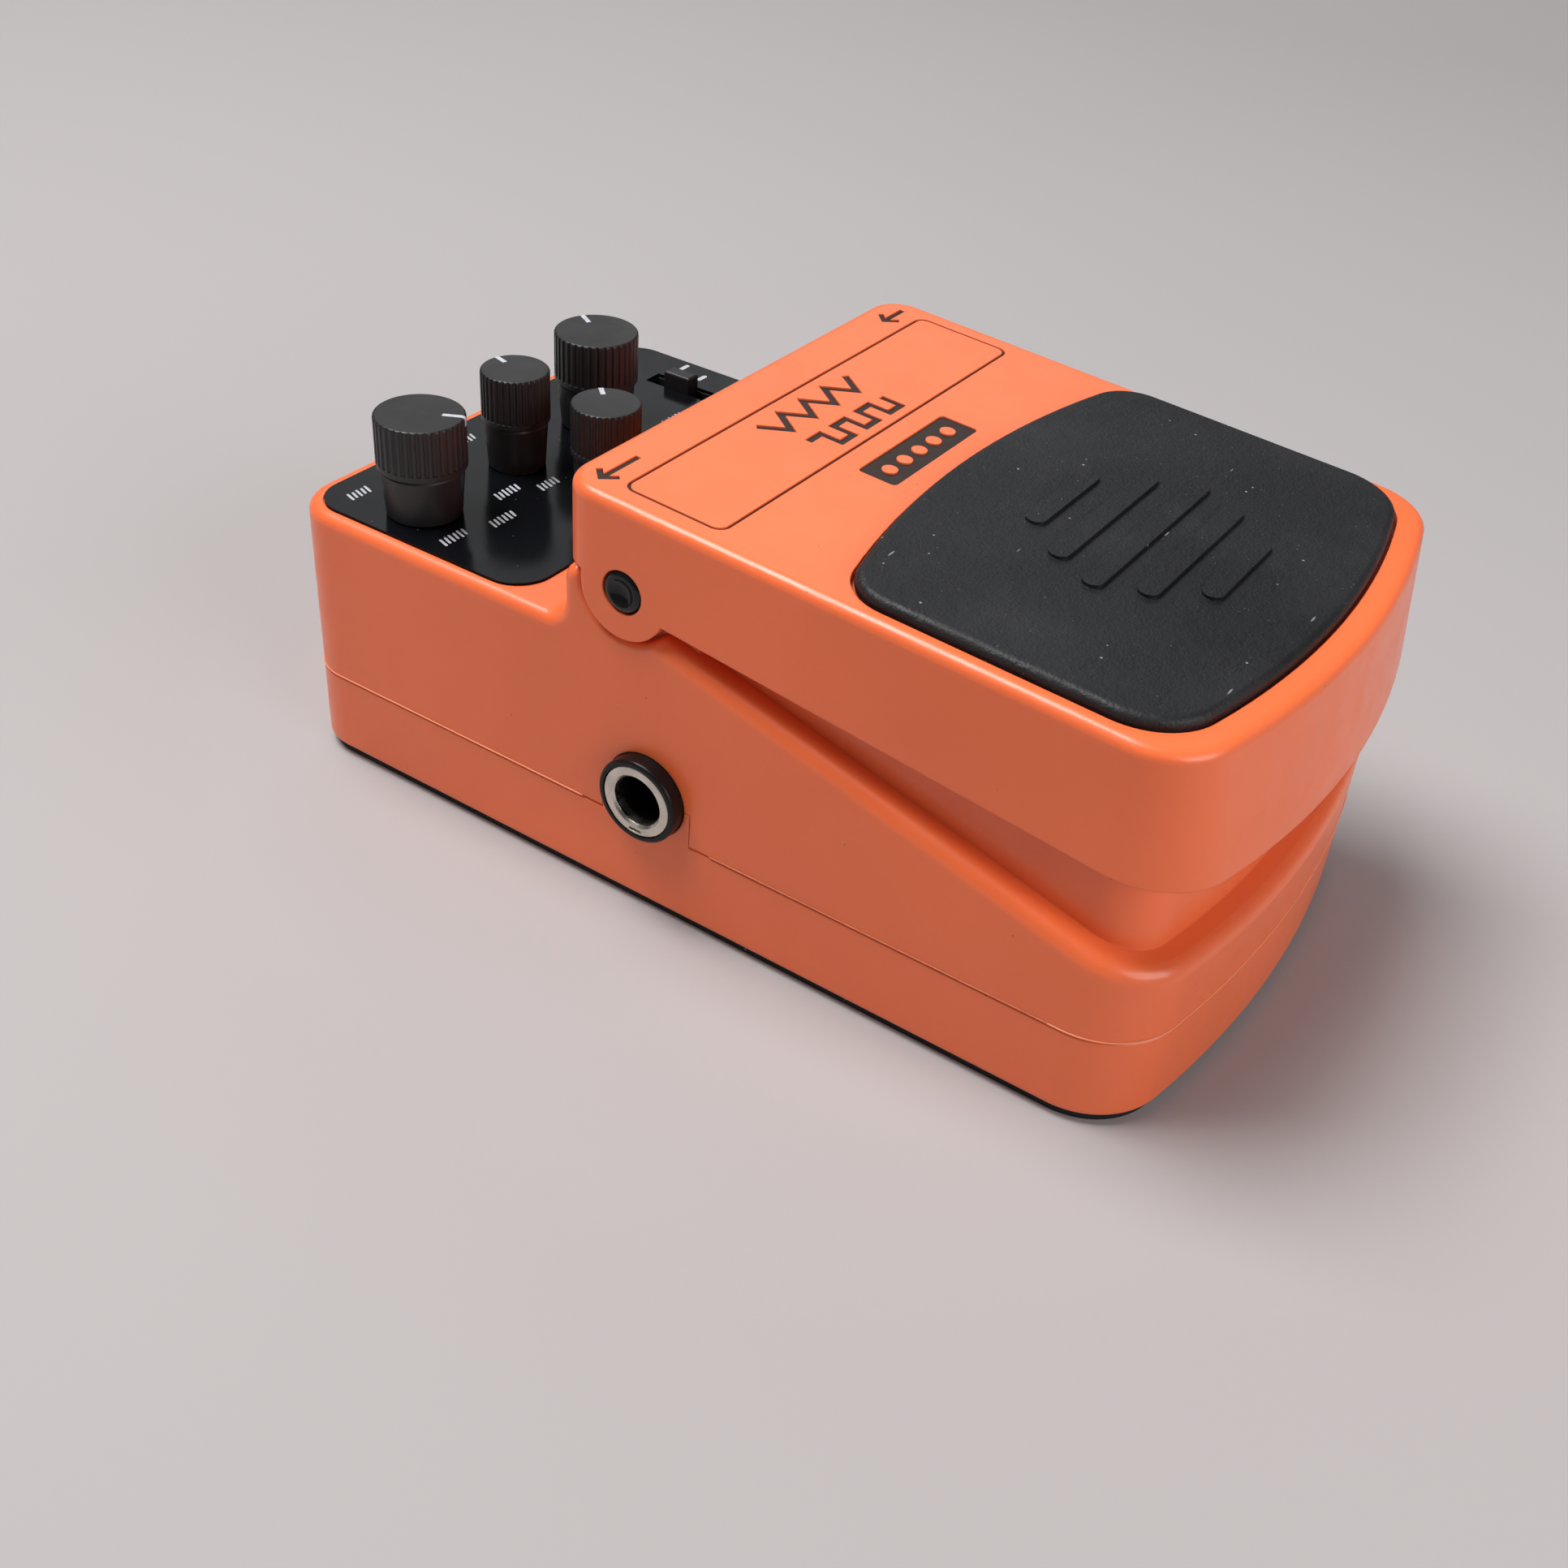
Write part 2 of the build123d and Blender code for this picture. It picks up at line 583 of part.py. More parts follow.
hub_front_y = 5.0
hub_rear_y = 13.5
with BuildPart() as treadle:
    with BuildSketch(Plane.YZ):
        with BuildLine():
            Polyline(
                (-70, skirt_z(-70)),
                (hub_front_y, skirt_z(hub_front_y)),
                (hub_rear_y, TREADLE_REAR_SKIRT_Z),
                (30, TREADLE_REAR_SKIRT_Z),
                (30, treadle_top_z(30)),
                (-70, treadle_top_z(-70)),
                close=True,
            )
        make_face()
        with Locations((PIVOT_Y, PIVOT_Z)):
            Circle(HUB_RADIUS)
    extrude(amount=TREADLE_WIDTH, both=True)
    add(treadle_block(0), mode=Mode.INTERSECT)
    fillet(treadle.faces().sort_by(Axis.Z)[-1].edges(), TREADLE_EDGE_RADIUS)
    under_roof = side_prism(
        [(-70, 0), (-70, treadle_top_z(-70) - TREADLE_ROOF),
         (30, treadle_top_z(30) - TREADLE_ROOF), (30, 0)],
        TREADLE_WIDTH,
    )
    add(treadle_block(TREADLE_WALL) & under_roof, mode=Mode.SUBTRACT)
    add(rod(PLUNGER_X, PLUNGER_Y, SPRING_TOP_Z + 0.05, treadle_top_z(PLUNGER_Y) - 1, 6.2))
    pin_hole = cross_rod(-BIG, BIG, PIVOT_Y, PIVOT_Z, PIN_RADIUS + 0.07)
    add(pin_hole, mode=Mode.SUBTRACT)
    with BuildSketch(TREADLE_PLANE):
        add(pad_plan(PAD_GAP))
    extrude(amount=-PAD_SINK, mode=Mode.SUBTRACT)
    with BuildSketch(TREADLE_PLANE):
        add(markings_plan())
    extrude(amount=-ENGRAVING, mode=Mode.SUBTRACT)
save(treadle.part, "treadle")

with BuildPart() as treadle_markings:
    with BuildSketch(TREADLE_PLANE.offset(-ENGRAVING)):
        add(markings_plan())
    extrude(amount=PAINT_THICK)
save(treadle_markings.part, "treadle_markings")

with BuildPart() as treadle_pad:
    with BuildSketch(TREADLE_PLANE.offset(-PAD_SINK)):
        add(pad_plan(0))
    extrude(amount=PAD_SINK + PAD_RISE)
    top_edges = treadle_pad.faces().sort_by(Axis.Z)[-1].edges()
    fillet(top_edges, 0.9)
    with BuildSketch(TREADLE_PLANE.offset(PAD_RISE - 0.2)):
        for row, bar_length in enumerate(GRIP_BARS):
            bar_y = GRIP_Y + (row - (len(GRIP_BARS) - 1) / 2) * GRIP_PITCH
            with Locations((0, bar_y)):
                SlotOverall(bar_length, GRIP_WIDTH)
    extrude(amount=0.2 + GRIP_RISE)
save(treadle_pad.part, "treadle_pad")

# ---------------------------------------------------------------- hinge pins and their springs
with BuildPart() as right_pin:
    add(cross_rod(PIN_COLLAR_X - 0.5, PIN_FACE_X, PIVOT_Y, PIVOT_Z, PIN_RADIUS))
    fillet(right_pin.faces().sort_by(Axis.X)[-1].edges(), 0.8)
    add(cross_rod(PIN_COLLAR_X - 1.5, PIN_COLLAR_X, PIVOT_Y, PIVOT_Z, PIN_COLLAR_R))
    add(cross_rod(PIN_TAIL_X, PIN_COLLAR_X - 1, PIVOT_Y, PIVOT_Z, PIN_TAIL_R))
    # shallow round dimple in the face that a finger or a pen pushes
    with Locations((PIN_FACE_X + DIMPLE_BALL_R - DIMPLE_DEPTH, PIVOT_Y, PIVOT_Z)):
        Sphere(DIMPLE_BALL_R, mode=Mode.SUBTRACT)
save(right_pin.part, "hinge_pin_right")

with BuildPart() as left_pin:
    add(right_pin.part.mirror(Plane.YZ))
save(left_pin.part, "hinge_pin_left")

for side, side_name in ((-1, "left"), (1, "right")):
    spring_start = side * (PIN_RIB_X + 2.05)
    spring_length = PIN_COLLAR_X - 1.55 - (PIN_RIB_X + 2.05)
    with BuildPart() as pin_spring:
        with BuildLine() as coil:
            Helix(
                pitch=(spring_length - 2 * PIN_WIRE_R) / 6,
                height=spring_length - 2 * PIN_WIRE_R,
                radius=2.25,
                center=(spring_start + side * PIN_WIRE_R, PIVOT_Y, PIVOT_Z),
                direction=(side, 0, 0),
            )
        with BuildSketch(Plane(origin=coil.line @ 0, z_dir=coil.line % 0)):
            Circle(PIN_WIRE_R)
        sweep(path=coil.line, is_frenet=True)
    save(pin_spring.part, "hinge_pin_spring_" + side_name)

# ---------------------------------------------------------------- treadle spring and footswitch
with BuildPart() as treadle_spring:
    with BuildLine() as coil:
        Helix(
            pitch=(SPRING_TOP_Z - SPRING_SEAT_Z - 2 * SPRING_WIRE_R - 0.1) / 6,
            height=SPRING_TOP_Z - SPRING_SEAT_Z - 2 * SPRING_WIRE_R - 0.1,
            radius=SPRING_COIL_R,
            center=(PLUNGER_X, PLUNGER_Y, SPRING_SEAT_Z + SPRING_WIRE_R + 0.05),
        )
    with BuildSketch(Plane(origin=coil.line @ 0, z_dir=coil.line % 0)):
        Circle(SPRING_WIRE_R)
    sweep(path=coil.line, is_frenet=True)
save(treadle_spring.part, "treadle_spring")

switch_body_low = SWITCH_BOARD_Z + BOARD_THICK
switch_body_top = SPRING_SEAT_Z - 1.9
plunger_low = 27.2
with BuildPart() as footswitch_plunger:
    add(rod(PLUNGER_X, PLUNGER_Y, plunger_low, SPRING_TOP_Z - 0.1, PLUNGER_RADIUS))
    fillet(footswitch_plunger.faces().sort_by(Axis.Z)[-1].edges(), 1.2)
save(footswitch_plunger.part, "footswitch_plunger")

with BuildPart() as footswitch_body:
    square = (PLUNGER_X - 6, PLUNGER_X + 6), (PLUNGER_Y - 6, PLUNGER_Y + 6)
    add(slab(*square, (switch_body_low, switch_body_top)))
    fillet(footswitch_body.edges().filter_by(Axis.Z), 0.8)
    add(rod(PLUNGER_X, PLUNGER_Y, plunger_low - 3.4, 60, PLUNGER_RADIUS + FIT_GAP), mode=Mode.SUBTRACT)
save(footswitch_body.part, "footswitch_body")

with BuildPart() as switch_board:
    add(slab((-23, -6), (-52.5, -21.5), (SWITCH_BOARD_Z, switch_body_low)))
    for x, y in SWITCH_BOARD_POSTS:
        add(rod(x, y, 0, 60, BOARD_SCREW_R + 0.25), mode=Mode.SUBTRACT)
save(switch_board.part, "switch_board")

# ---------------------------------------------------------------- control panel label
label_plan_y = sum(LABEL_Y) / 2
with BuildPart() as panel_label:
    with BuildSketch(Plane.XY.offset(PANEL_Z)):
        with Locations((0, label_plan_y)):
            RectangleRounded(2 * LABEL_HALF_WIDTH, LABEL_Y[1] - LABEL_Y[0], LABEL_CORNER)
        for x, y, cap_radius in KNOBS.values():
            with Locations((x, y)):
                Circle(SHAFT_RADIUS + 0.4, mode=Mode.SUBTRACT)
        with Locations((LIGHT_X, LIGHT_Y)):
            Circle(LIGHT_RADIUS + FIT_GAP, mode=Mode.SUBTRACT)
        with Locations((SWITCH_X, SWITCH_Y)):
            Rectangle(SLOT_WIDTH, SLOT_LENGTH, mode=Mode.SUBTRACT)
    extrude(amount=LABEL_THICK)
save(panel_label.part, "panel_label")

# ---------------------------------------------------------------- knobs, shafts, potentiometers
pot_low = CONTROL_BOARD_Z + BOARD_THICK
pot_top = pot_low + POT_HEIGHT
for knob_name, (x, y, cap_radius) in KNOBS.items():
    step_z = KNOB_BASE_Z + 0.47 * (KNOB_TOP_Z - KNOB_BASE_Z)
    with BuildPart() as knob:
        with BuildSketch(Plane.XZ.offset(-y)):
            with BuildLine():
                Polyline(
                    (x, KNOB_BASE_Z),
                    (x + 0.84 * cap_radius, KNOB_BASE_Z),
                    (x + 0.93 * cap_radius, step_z - 0.25),
                    (x + 0.90 * cap_radius, step_z),
                    (x + cap_radius, step_z + 0.25),
                    (x + cap_radius, KNOB_TOP_Z),
                    (x, KNOB_TOP_Z),
                    close=True,
                )
            make_face()
        revolve(axis=Axis((x, y, 0), (0, 0, 1)), revolution_arc=360)
        rim_edge = knob.faces().sort_by(Axis.Z)[-1].edges()
        fillet(rim_edge, 0.35)
        # fine grip flutes round the cap
        with BuildSketch(Plane.XY.offset(step_z + 0.9)):
            with Locations((x, y)):
                with PolarLocations(cap_radius + FLUTE_R * 0.35, FLUTES):
                    Circle(FLUTE_R)
        extrude(amount=KNOB_TOP_Z - step_z, mode=Mode.SUBTRACT)
        add(rod(x, y, 0, KNOB_TOP_Z - 2.2, SHAFT_RADIUS + 0.02), mode=Mode.SUBTRACT)
    save(knob.part, "knob_" + knob_name)

    with BuildPart() as shaft:
        add(rod(x, y, pot_low + 1.2, KNOB_TOP_Z - 2.3, SHAFT_RADIUS))
    save(shaft.part, "shaft_" + knob_name)

    with BuildPart() as pot:
        add(slab((x - 4.8, x + 4.8), (y - 5.0, y + 5.0), (pot_low, pot_top)))
        fillet(pot.edges().filter_by(Axis.Z), 0.8)
        add(rod(x, y, pot_top - 0.5, pot_top + 1.5, SHAFT_RADIUS + 0.9))
        add(rod(x, y, pot_low + 1.1, 60, SHAFT_RADIUS + 0.05), mode=Mode.SUBTRACT)
    save(pot.part, "potentiometer_" + knob_name)

# ---------------------------------------------------------------- mode switch and status light
with BuildPart() as mode_switch_body:
    add(slab((SWITCH_X - 3.4, SWITCH_X + 3.4), (SWITCH_Y - 7.2, SWITCH_Y + 6.9), (pot_low, pot_low + 5.4)))
    # frame that stands up through the panel and lines the slot
    frame_half_x = SLOT_WIDTH / 2 + BEZEL_WALL - 0.05
    frame_half_y = SLOT_LENGTH / 2 + BEZEL_WALL - 0.05
    frame_x = (SWITCH_X - frame_half_x, SWITCH_X + frame_half_x)
    frame_y = (SWITCH_Y - frame_half_y, SWITCH_Y + frame_half_y)
    add(slab(frame_x, frame_y, (pot_low + 5, PANEL_Z - 0.05)))
    add(
        slab((SWITCH_X - 1.3, SWITCH_X + 1.3), (SWITCH_Y - 4.9, SWITCH_Y + 4.9), (pot_low + 1.3, 60)),
        mode=Mode.SUBTRACT,
    )
save(mode_switch_body.part, "mode_switch_body")

with BuildPart() as mode_switch_slider:
    slider_z = (pot_low + 1.5, SLIDER_TOP_Z)
    add(slab((SWITCH_X - 1.1, SWITCH_X + 1.1), (SWITCH_Y - 2.1, SWITCH_Y + 2.1), slider_z))
    fillet(mode_switch_slider.faces().sort_by(Axis.Z)[-1].edges(), 0.35)
save(mode_switch_slider.part, "mode_switch_slider")

with BuildPart() as status_light:
    add(rod(LIGHT_X, LIGHT_Y, PANEL_Z - 3.2, PANEL_Z + 0.4, LIGHT_RADIUS))
    with Locations((LIGHT_X, LIGHT_Y, PANEL_Z + 0.4)):
        Sphere(LIGHT_RADIUS)
    add(rod(LIGHT_X, LIGHT_Y, PANEL_Z - 4.0, PANEL_Z - 3.0, 2.0))
save(status_light.part, "status_light")

with BuildPart() as light_spacer:
    add(rod(LIGHT_X, LIGHT_Y, pot_low, PANEL_Z - 4.0, 2.2))
    add(rod(LIGHT_X, LIGHT_Y, pot_low - 1, PANEL_Z, 0.9), mode=Mode.SUBTRACT)
save(light_spacer.part, "light_spacer")

# ---------------------------------------------------------------- circuit boards
with BuildPart() as control_board:
    add(slab((-30, 30), (24.4, 51.4), (CONTROL_BOARD_Z, pot_low)))
    for x, y in CONTROL_BOARD_POSTS:
        add(rod(x, y, 0, 60, BOARD_SCREW_R + 0.25), mode=Mode.SUBTRACT)
save(control_board.part, "control_board")

with BuildPart() as main_board:
    add(slab((-28.5, 28.5), (-42.0, 50.5), (MAIN_BOARD_Z, main_board_top)))
    for x, y in MAIN_BOARD_POSTS:
        add(rod(x, y, 0, 60, BOARD_SCREW_R + 0.25), mode=Mode.SUBTRACT)
save(main_board.part, "main_board")

# (x, y, size along X, size along Y, height) of the chips, then (x, y, radius, height) of the capacitors
CHIPS = [(-12, -22, 10, 6.4, 3.2), (10, -20, 6.4, 10, 3.2), (-6, 28, 10, 6.4, 3.2), (4, -34, 8, 4, 2.4)]
CAPACITORS = [(-20, -10, 3.2, 9), (-21, 22, 2.5, 7), (20, -8.5, 3.2, 9), (22, 26, 2.5, 7), (-2, 40, 2.5, 7)]
FILM_CAPACITORS = [(-20, -24), (19, -28), (-10, 40), (6, 20)]
with BuildPart() as board_components:
    for x, y, width, depth, height in CHIPS:
        chip_x = (x - width / 2, x + width / 2)
        chip_y = (y - depth / 2, y + depth / 2)
        add(slab(chip_x, chip_y, (main_board_top, main_board_top + height)))
    for x, y, radius, height in CAPACITORS:
        add(rod(x, y, main_board_top, main_board_top + height, radius))
    for x, y in FILM_CAPACITORS:
        add(slab((x - 3.6, x + 3.6), (y - 1.3, y + 1.3), (main_board_top, main_board_top + 6)))
save(board_components.part, "board_components")

# square pins: main board to control board, and main board to footswitch board
with BuildPart() as board_link_pins:
    for row in range(8):
        pin_x = -14 + row * 2.54
        add(slab((pin_x - 0.32, pin_x + 0.32), (33.7, 34.34), (main_board_top, CONTROL_BOARD_Z)))
    for row in range(3):
        pin_x = -11 + row * 2.0
        add(slab((pin_x - 0.32, pin_x + 0.32), (-30.3, -29.66), (main_board_top, SWITCH_BOARD_Z)))
save(board_link_pins.part, "board_link_pins")

# ---------------------------------------------------------------- jacks
for side, jack_name in ((-1, "output"), (1, "input")):
    inner_x = JACK_FACE_X - 1.6
    body_x = sorted((side * JACK_BODY_X, side * (JACK_BODY_X - JACK_BODY_LENGTH)))
    with BuildPart() as jack:
        add(slab(body_x, (JACK_Y - 7, JACK_Y + 7), (main_board_top, JACK_Z + 5.6)))
        fillet(jack.edges().filter_by(Axis.X), 1.0)
        add(cross_rod(side * (JACK_BODY_X - 1), side * JACK_FACE_X, JACK_Y, JACK_Z, JACK_COLLAR_R))
        outer_face = jack.faces().sort_by(Axis.X)[0 if side < 0 else -1]
        fillet(outer_face.edges(), 0.4)
        add(
            cross_rod(side * inner_x, side * BIG, JACK_Y, JACK_Z, JACK_RING_R + 0.01),
            mode=Mode.SUBTRACT,
        )
        add(
            cross_rod(side * (JACK_FACE_X - JACK_DEPTH), side * BIG, JACK_Y, JACK_Z, JACK_BORE_R),
            mode=Mode.SUBTRACT,
        )
        # windows where the contact springs sit, above and below the bore
        for contact_x, contact_z in JACK_CONTACTS:
            window_x = sorted((side * (contact_x - 1.6), side * (contact_x + 1.6)))
            window_z = sorted((JACK_Z, JACK_Z + contact_z * 4.4))
            add(slab(window_x, (JACK_Y - 2, JACK_Y + 2), window_z), mode=Mode.SUBTRACT)
    save(jack.part, jack_name + "_jack_body")

    with BuildPart() as jack_ring:
        add(cross_rod(side * inner_x, side * (JACK_FACE_X - 0.05), JACK_Y, JACK_Z, JACK_RING_R))
        rim_face = jack_ring.faces().sort_by(Axis.X)[0 if side < 0 else -1]
        fillet(rim_face.edges(), 0.3)
        add(cross_rod(-BIG, BIG, JACK_Y, JACK_Z, JACK_BORE_R), mode=Mode.SUBTRACT)
        bore_edge = jack_ring.edges().filter_by(GeomType.CIRCLE).sort_by(Axis.X)
        bore_edge = [e for e in bore_edge if abs(e.radius - JACK_BORE_R) < 0.01]
        chamfer(bore_edge[0 if side < 0 else -1], 0.3)
        # short slot in the face, for the tool that tightens the ring
        notch_x = sorted((side * (JACK_FACE_X - 0.6), side * (JACK_FACE_X + 1)))
        notch_z = (JACK_Z - RING_NOTCH_R[1], JACK_Z - RING_NOTCH_R[0])
        add(slab(notch_x, (JACK_Y - RING_NOTCH_Y, JACK_Y + RING_NOTCH_Y), notch_z), mode=Mode.SUBTRACT)
    save(jack_ring.part, jack_name + "_jack_ring")

    with BuildPart() as jack_contacts:
        for contact_x, contact_z in JACK_CONTACTS:
            strip_x = sorted((side * (contact_x - 1.5), side * (contact_x + 1.5)))
            strip_z = sorted((JACK_Z + contact_z * 3.75, JACK_Z + contact_z * 4.15))
            add(slab(strip_x, (JACK_Y - 1.7, JACK_Y + 1.7), strip_z))
    save(jack_contacts.part, jack_name + "_jack_contacts")

# ---------------------------------------------------------------- power jack
with BuildPart() as power_jack:
    body_z = (main_board_top + 0.05, POWER_Z + 5.2)
    add(slab((POWER_X - 4.6, POWER_X + 4.6), (REAR_Y - 14.5, REAR_Y - 2.6), body_z))
    fillet(power_jack.edges().filter_by(Axis.Y), 0.8)
    with BuildSketch(Plane.XZ.offset(-(REAR_Y - 0.15))):
        with Locations((POWER_X, POWER_Z)):
            Circle(POWER_NECK_R)
    extrude(amount=3)
    with BuildSketch(Plane.XZ.offset(-REAR_Y - 1)):
        with Locations((POWER_X, POWER_Z)):
            Circle(POWER_BORE_R)
    extrude(amount=11, mode=Mode.SUBTRACT)
save(power_jack.part, "power_jack_body")

with BuildPart() as power_jack_pin:
    with BuildSketch(Plane.XZ.offset(-(REAR_Y - 0.9))):
        with Locations((POWER_X, POWER_Z)):
            Circle(1.0)
    extrude(amount=REAR_Y - 0.9 - (REAR_Y - 10))
    fillet(power_jack_pin.faces().sort_by(Axis.Y)[-1].edges(), 0.6)
save(power_jack_pin.part, "power_jack_pin")

# ---------------------------------------------------------------- battery, snap, leads, foam
battery_low = TUB_FLOOR_Z + FOAM_THICK + 0.1
battery_x = (BATTERY_X - BATTERY[0] / 2, BATTERY_X + BATTERY[0] / 2)
battery_y = (BATTERY_FRONT_Y, BATTERY_FRONT_Y + BATTERY[1])
terminal_z = battery_low + BATTERY[2] / 2
with BuildPart() as battery:
    add(slab(battery_x, battery_y, (battery_low, battery_low + BATTERY[2])))
    fillet(battery.edges().filter_by(Axis.Y), 1.8)
    with BuildSketch(Plane.XZ.offset(-battery_y[1])):
        with Locations((BATTERY_X - 6.35, terminal_z), (BATTERY_X + 6.35, terminal_z)):
            Circle(2.8)
    extrude(amount=-2.1)
save(battery.part, "battery")

snap_y = (battery_y[1] + 0.1, TUB_REAR_Y - 0.6)
with BuildPart() as battery_snap:
    add(slab((BATTERY_X - 12.7, BATTERY_X + 12.7), snap_y, (terminal_z - 5.5, terminal_z + 5.5)))
    fillet(battery_snap.edges().filter_by(Axis.Y), 3.0)
    with BuildSketch(Plane.XZ.offset(-snap_y[0])):
        with Locations((BATTERY_X - 6.35, terminal_z), (BATTERY_X + 6.35, terminal_z)):
            Circle(2.9)
    extrude(amount=-2.2, mode=Mode.SUBTRACT)
save(battery_snap.part, "battery_snap")

with BuildPart() as battery_foam:
    add(slab((2, 25), (-48, -6), (TUB_FLOOR_Z + 0.05, TUB_FLOOR_Z + 0.05 + FOAM_THICK)))
save(battery_foam.part, "battery_foam")

# each lead goes from the snap through the slot behind it and down to the main board
for lead_name, lead_x in (("red", 3.2), ("black", 6.0)):
    route = [
        (lead_x, snap_y[1], 33.0),
        (lead_x, 9.6, 33.0),
        (lead_x, 14.2, 23.5),
        (lead_x, 14.2, main_board_top),
    ]
    runs = [(Vector(b) - Vector(a)) for a, b in zip(route, route[1:])]
    radii = []
    for before, after in zip(runs, runs[1:]):
        half_turn = radians(before.get_angle(after) / 2)
        radii.append(0.45 * min(before.length, after.length) / tan(half_turn))
    print("lead radii", lead_name, [round(r, 1) for r in radii])
    with BuildPart() as lead:
        with BuildLine() as path:
            FilletPolyline(*route, radius=radii)
        with BuildSketch(Plane(origin=path.line @ 0, z_dir=path.line % 0)):
            Circle(LEAD_RADIUS)
        sweep(path=path.line)
    save(lead.part, "battery_lead_" + lead_name)

# ---------------------------------------------------------------- screws
with BuildPart() as housing_screws:
    for x, y in HOUSING_SCREWS:
        add(rod(x, y, shell_low + 0.1, shell_low + 1.35, 2.6))
        add(rod(x, y, shell_low + 1, HOUSING_BOSS_Z + 8, 1.25))
save(housing_screws.part, "housing_screws")

with BuildPart() as board_screws:
    for x, y in MAIN_BOARD_POSTS:
        add(rod(x, y, main_board_top + 0.02, main_board_top + 1.5, 2.0))
        add(rod(x, y, main_board_top - 4.8, main_board_top + 1, BOARD_SCREW_R))
    for x, y in CONTROL_BOARD_POSTS:
        add(rod(x, y, CONTROL_BOARD_Z - 1.5, CONTROL_BOARD_Z - 0.02, 2.0))
        add(rod(x, y, CONTROL_BOARD_Z - 1, CONTROL_BOARD_Z + 6.5, BOARD_SCREW_R))
    for x, y in SWITCH_BOARD_POSTS:
        add(rod(x, y, SWITCH_BOARD_Z - 1.5, SWITCH_BOARD_Z - 0.02, 2.0))
        add(rod(x, y, SWITCH_BOARD_Z - 1, SWITCH_BOARD_Z + 6.5, BOARD_SCREW_R))
save(board_screws.part, "board_screws")
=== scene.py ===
"""Looks of the guitar effects pedal: materials, prints and small details around the CAD frame."""

import math

import bmesh
import bpy
from mathutils import Matrix, Vector


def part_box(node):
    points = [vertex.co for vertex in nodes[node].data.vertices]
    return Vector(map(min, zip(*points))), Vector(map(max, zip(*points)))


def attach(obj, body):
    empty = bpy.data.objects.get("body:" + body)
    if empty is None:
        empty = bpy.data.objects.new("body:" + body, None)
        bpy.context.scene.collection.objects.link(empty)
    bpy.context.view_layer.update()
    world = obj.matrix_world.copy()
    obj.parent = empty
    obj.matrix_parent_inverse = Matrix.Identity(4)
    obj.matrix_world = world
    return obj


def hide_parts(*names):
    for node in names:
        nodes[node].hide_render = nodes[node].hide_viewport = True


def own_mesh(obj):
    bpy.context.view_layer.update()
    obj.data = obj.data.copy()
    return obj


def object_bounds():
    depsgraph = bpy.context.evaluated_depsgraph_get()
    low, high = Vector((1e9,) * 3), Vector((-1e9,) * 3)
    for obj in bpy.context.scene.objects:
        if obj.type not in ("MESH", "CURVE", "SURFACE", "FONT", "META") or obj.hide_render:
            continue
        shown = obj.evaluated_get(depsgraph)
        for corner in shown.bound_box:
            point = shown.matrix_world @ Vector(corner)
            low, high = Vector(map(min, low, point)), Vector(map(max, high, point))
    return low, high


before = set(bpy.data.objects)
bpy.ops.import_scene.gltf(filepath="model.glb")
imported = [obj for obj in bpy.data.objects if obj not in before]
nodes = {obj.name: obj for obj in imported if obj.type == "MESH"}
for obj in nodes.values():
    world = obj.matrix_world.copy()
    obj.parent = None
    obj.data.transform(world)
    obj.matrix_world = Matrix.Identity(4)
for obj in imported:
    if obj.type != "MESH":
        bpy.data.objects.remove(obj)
cad_low, cad_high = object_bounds()
MM = 0.001

# ------------------------------------------------------------------ camera
# angles in degrees, lens and sensor in millimetres
CAMERA_AZIMUTH = -58.35
CAMERA_ELEVATION = 36.66
CAMERA_ROLL = 4.54
CAMERA_DISTANCE = 243.4 * MM
CAMERA_TARGET = Vector((-1.37, 6.38, -0.73)) * MM
CAMERA_LENS = 41.74
SENSOR_WIDTH = 36.0
CLIP_START = 0.005


def add_camera():
    azimuth, elevation, roll = map(math.radians, (CAMERA_AZIMUTH, CAMERA_ELEVATION, CAMERA_ROLL))
    back = Vector(
        (
            math.sin(azimuth) * math.cos(elevation),
            -math.cos(azimuth) * math.cos(elevation),
            math.sin(elevation),
        )
    )
    level_right = (-back).cross(Vector((0, 0, 1))).normalized()
    level_up = level_right.cross(-back)
    right = math.cos(roll) * level_right + math.sin(roll) * level_up
    up = -math.sin(roll) * level_right + math.cos(roll) * level_up
    data = bpy.data.cameras.new("camera")
    data.lens = CAMERA_LENS
    data.sensor_width = SENSOR_WIDTH
    data.clip_start = CLIP_START
    camera = bpy.data.objects.new("camera", data)
    turn = Matrix((right, up, back)).transposed().to_4x4()
    camera.matrix_world = Matrix.Translation(CAMERA_TARGET + back * CAMERA_DISTANCE) @ turn
    bpy.context.collection.objects.link(camera)
    bpy.context.scene.camera = camera


# ------------------------------------------------------------------ lights
# name, place, aim, width, height, power, colour
LIGHTS = (
    ("key", (-0.14, 0.34, 0.95), (0, 0, 0), 0.5, 0.5, 12.2, (1.0, 0.985, 0.965)),
    ("front_fill", (-0.1, -0.95, 0.45), (0, 0, 0.02), 0.8, 0.5, 5.2, (1, 1, 1)),
    ("back_sheen", (0.75, 0.50, 0.62), (0, 0, 0.04), 0.7, 0.45, 0.8, (0.98, 0.99, 1.0)),
)
WORLD_COLOR = (0.95, 0.96, 1.0)
WORLD_STRENGTH = 0.11


def add_area(name, place, aim, width, height, power, color):
    data = bpy.data.lights.new(name, "AREA")
    data.shape = "RECTANGLE"
    data.size = width
    data.size_y = height
    data.energy = power
    data.color = color
    light = bpy.data.objects.new(name, data)
    place = Vector(place)
    light.location = place
    light.rotation_euler = (Vector(aim) - place).to_track_quat("-Z", "Y").to_euler()
    bpy.context.collection.objects.link(light)


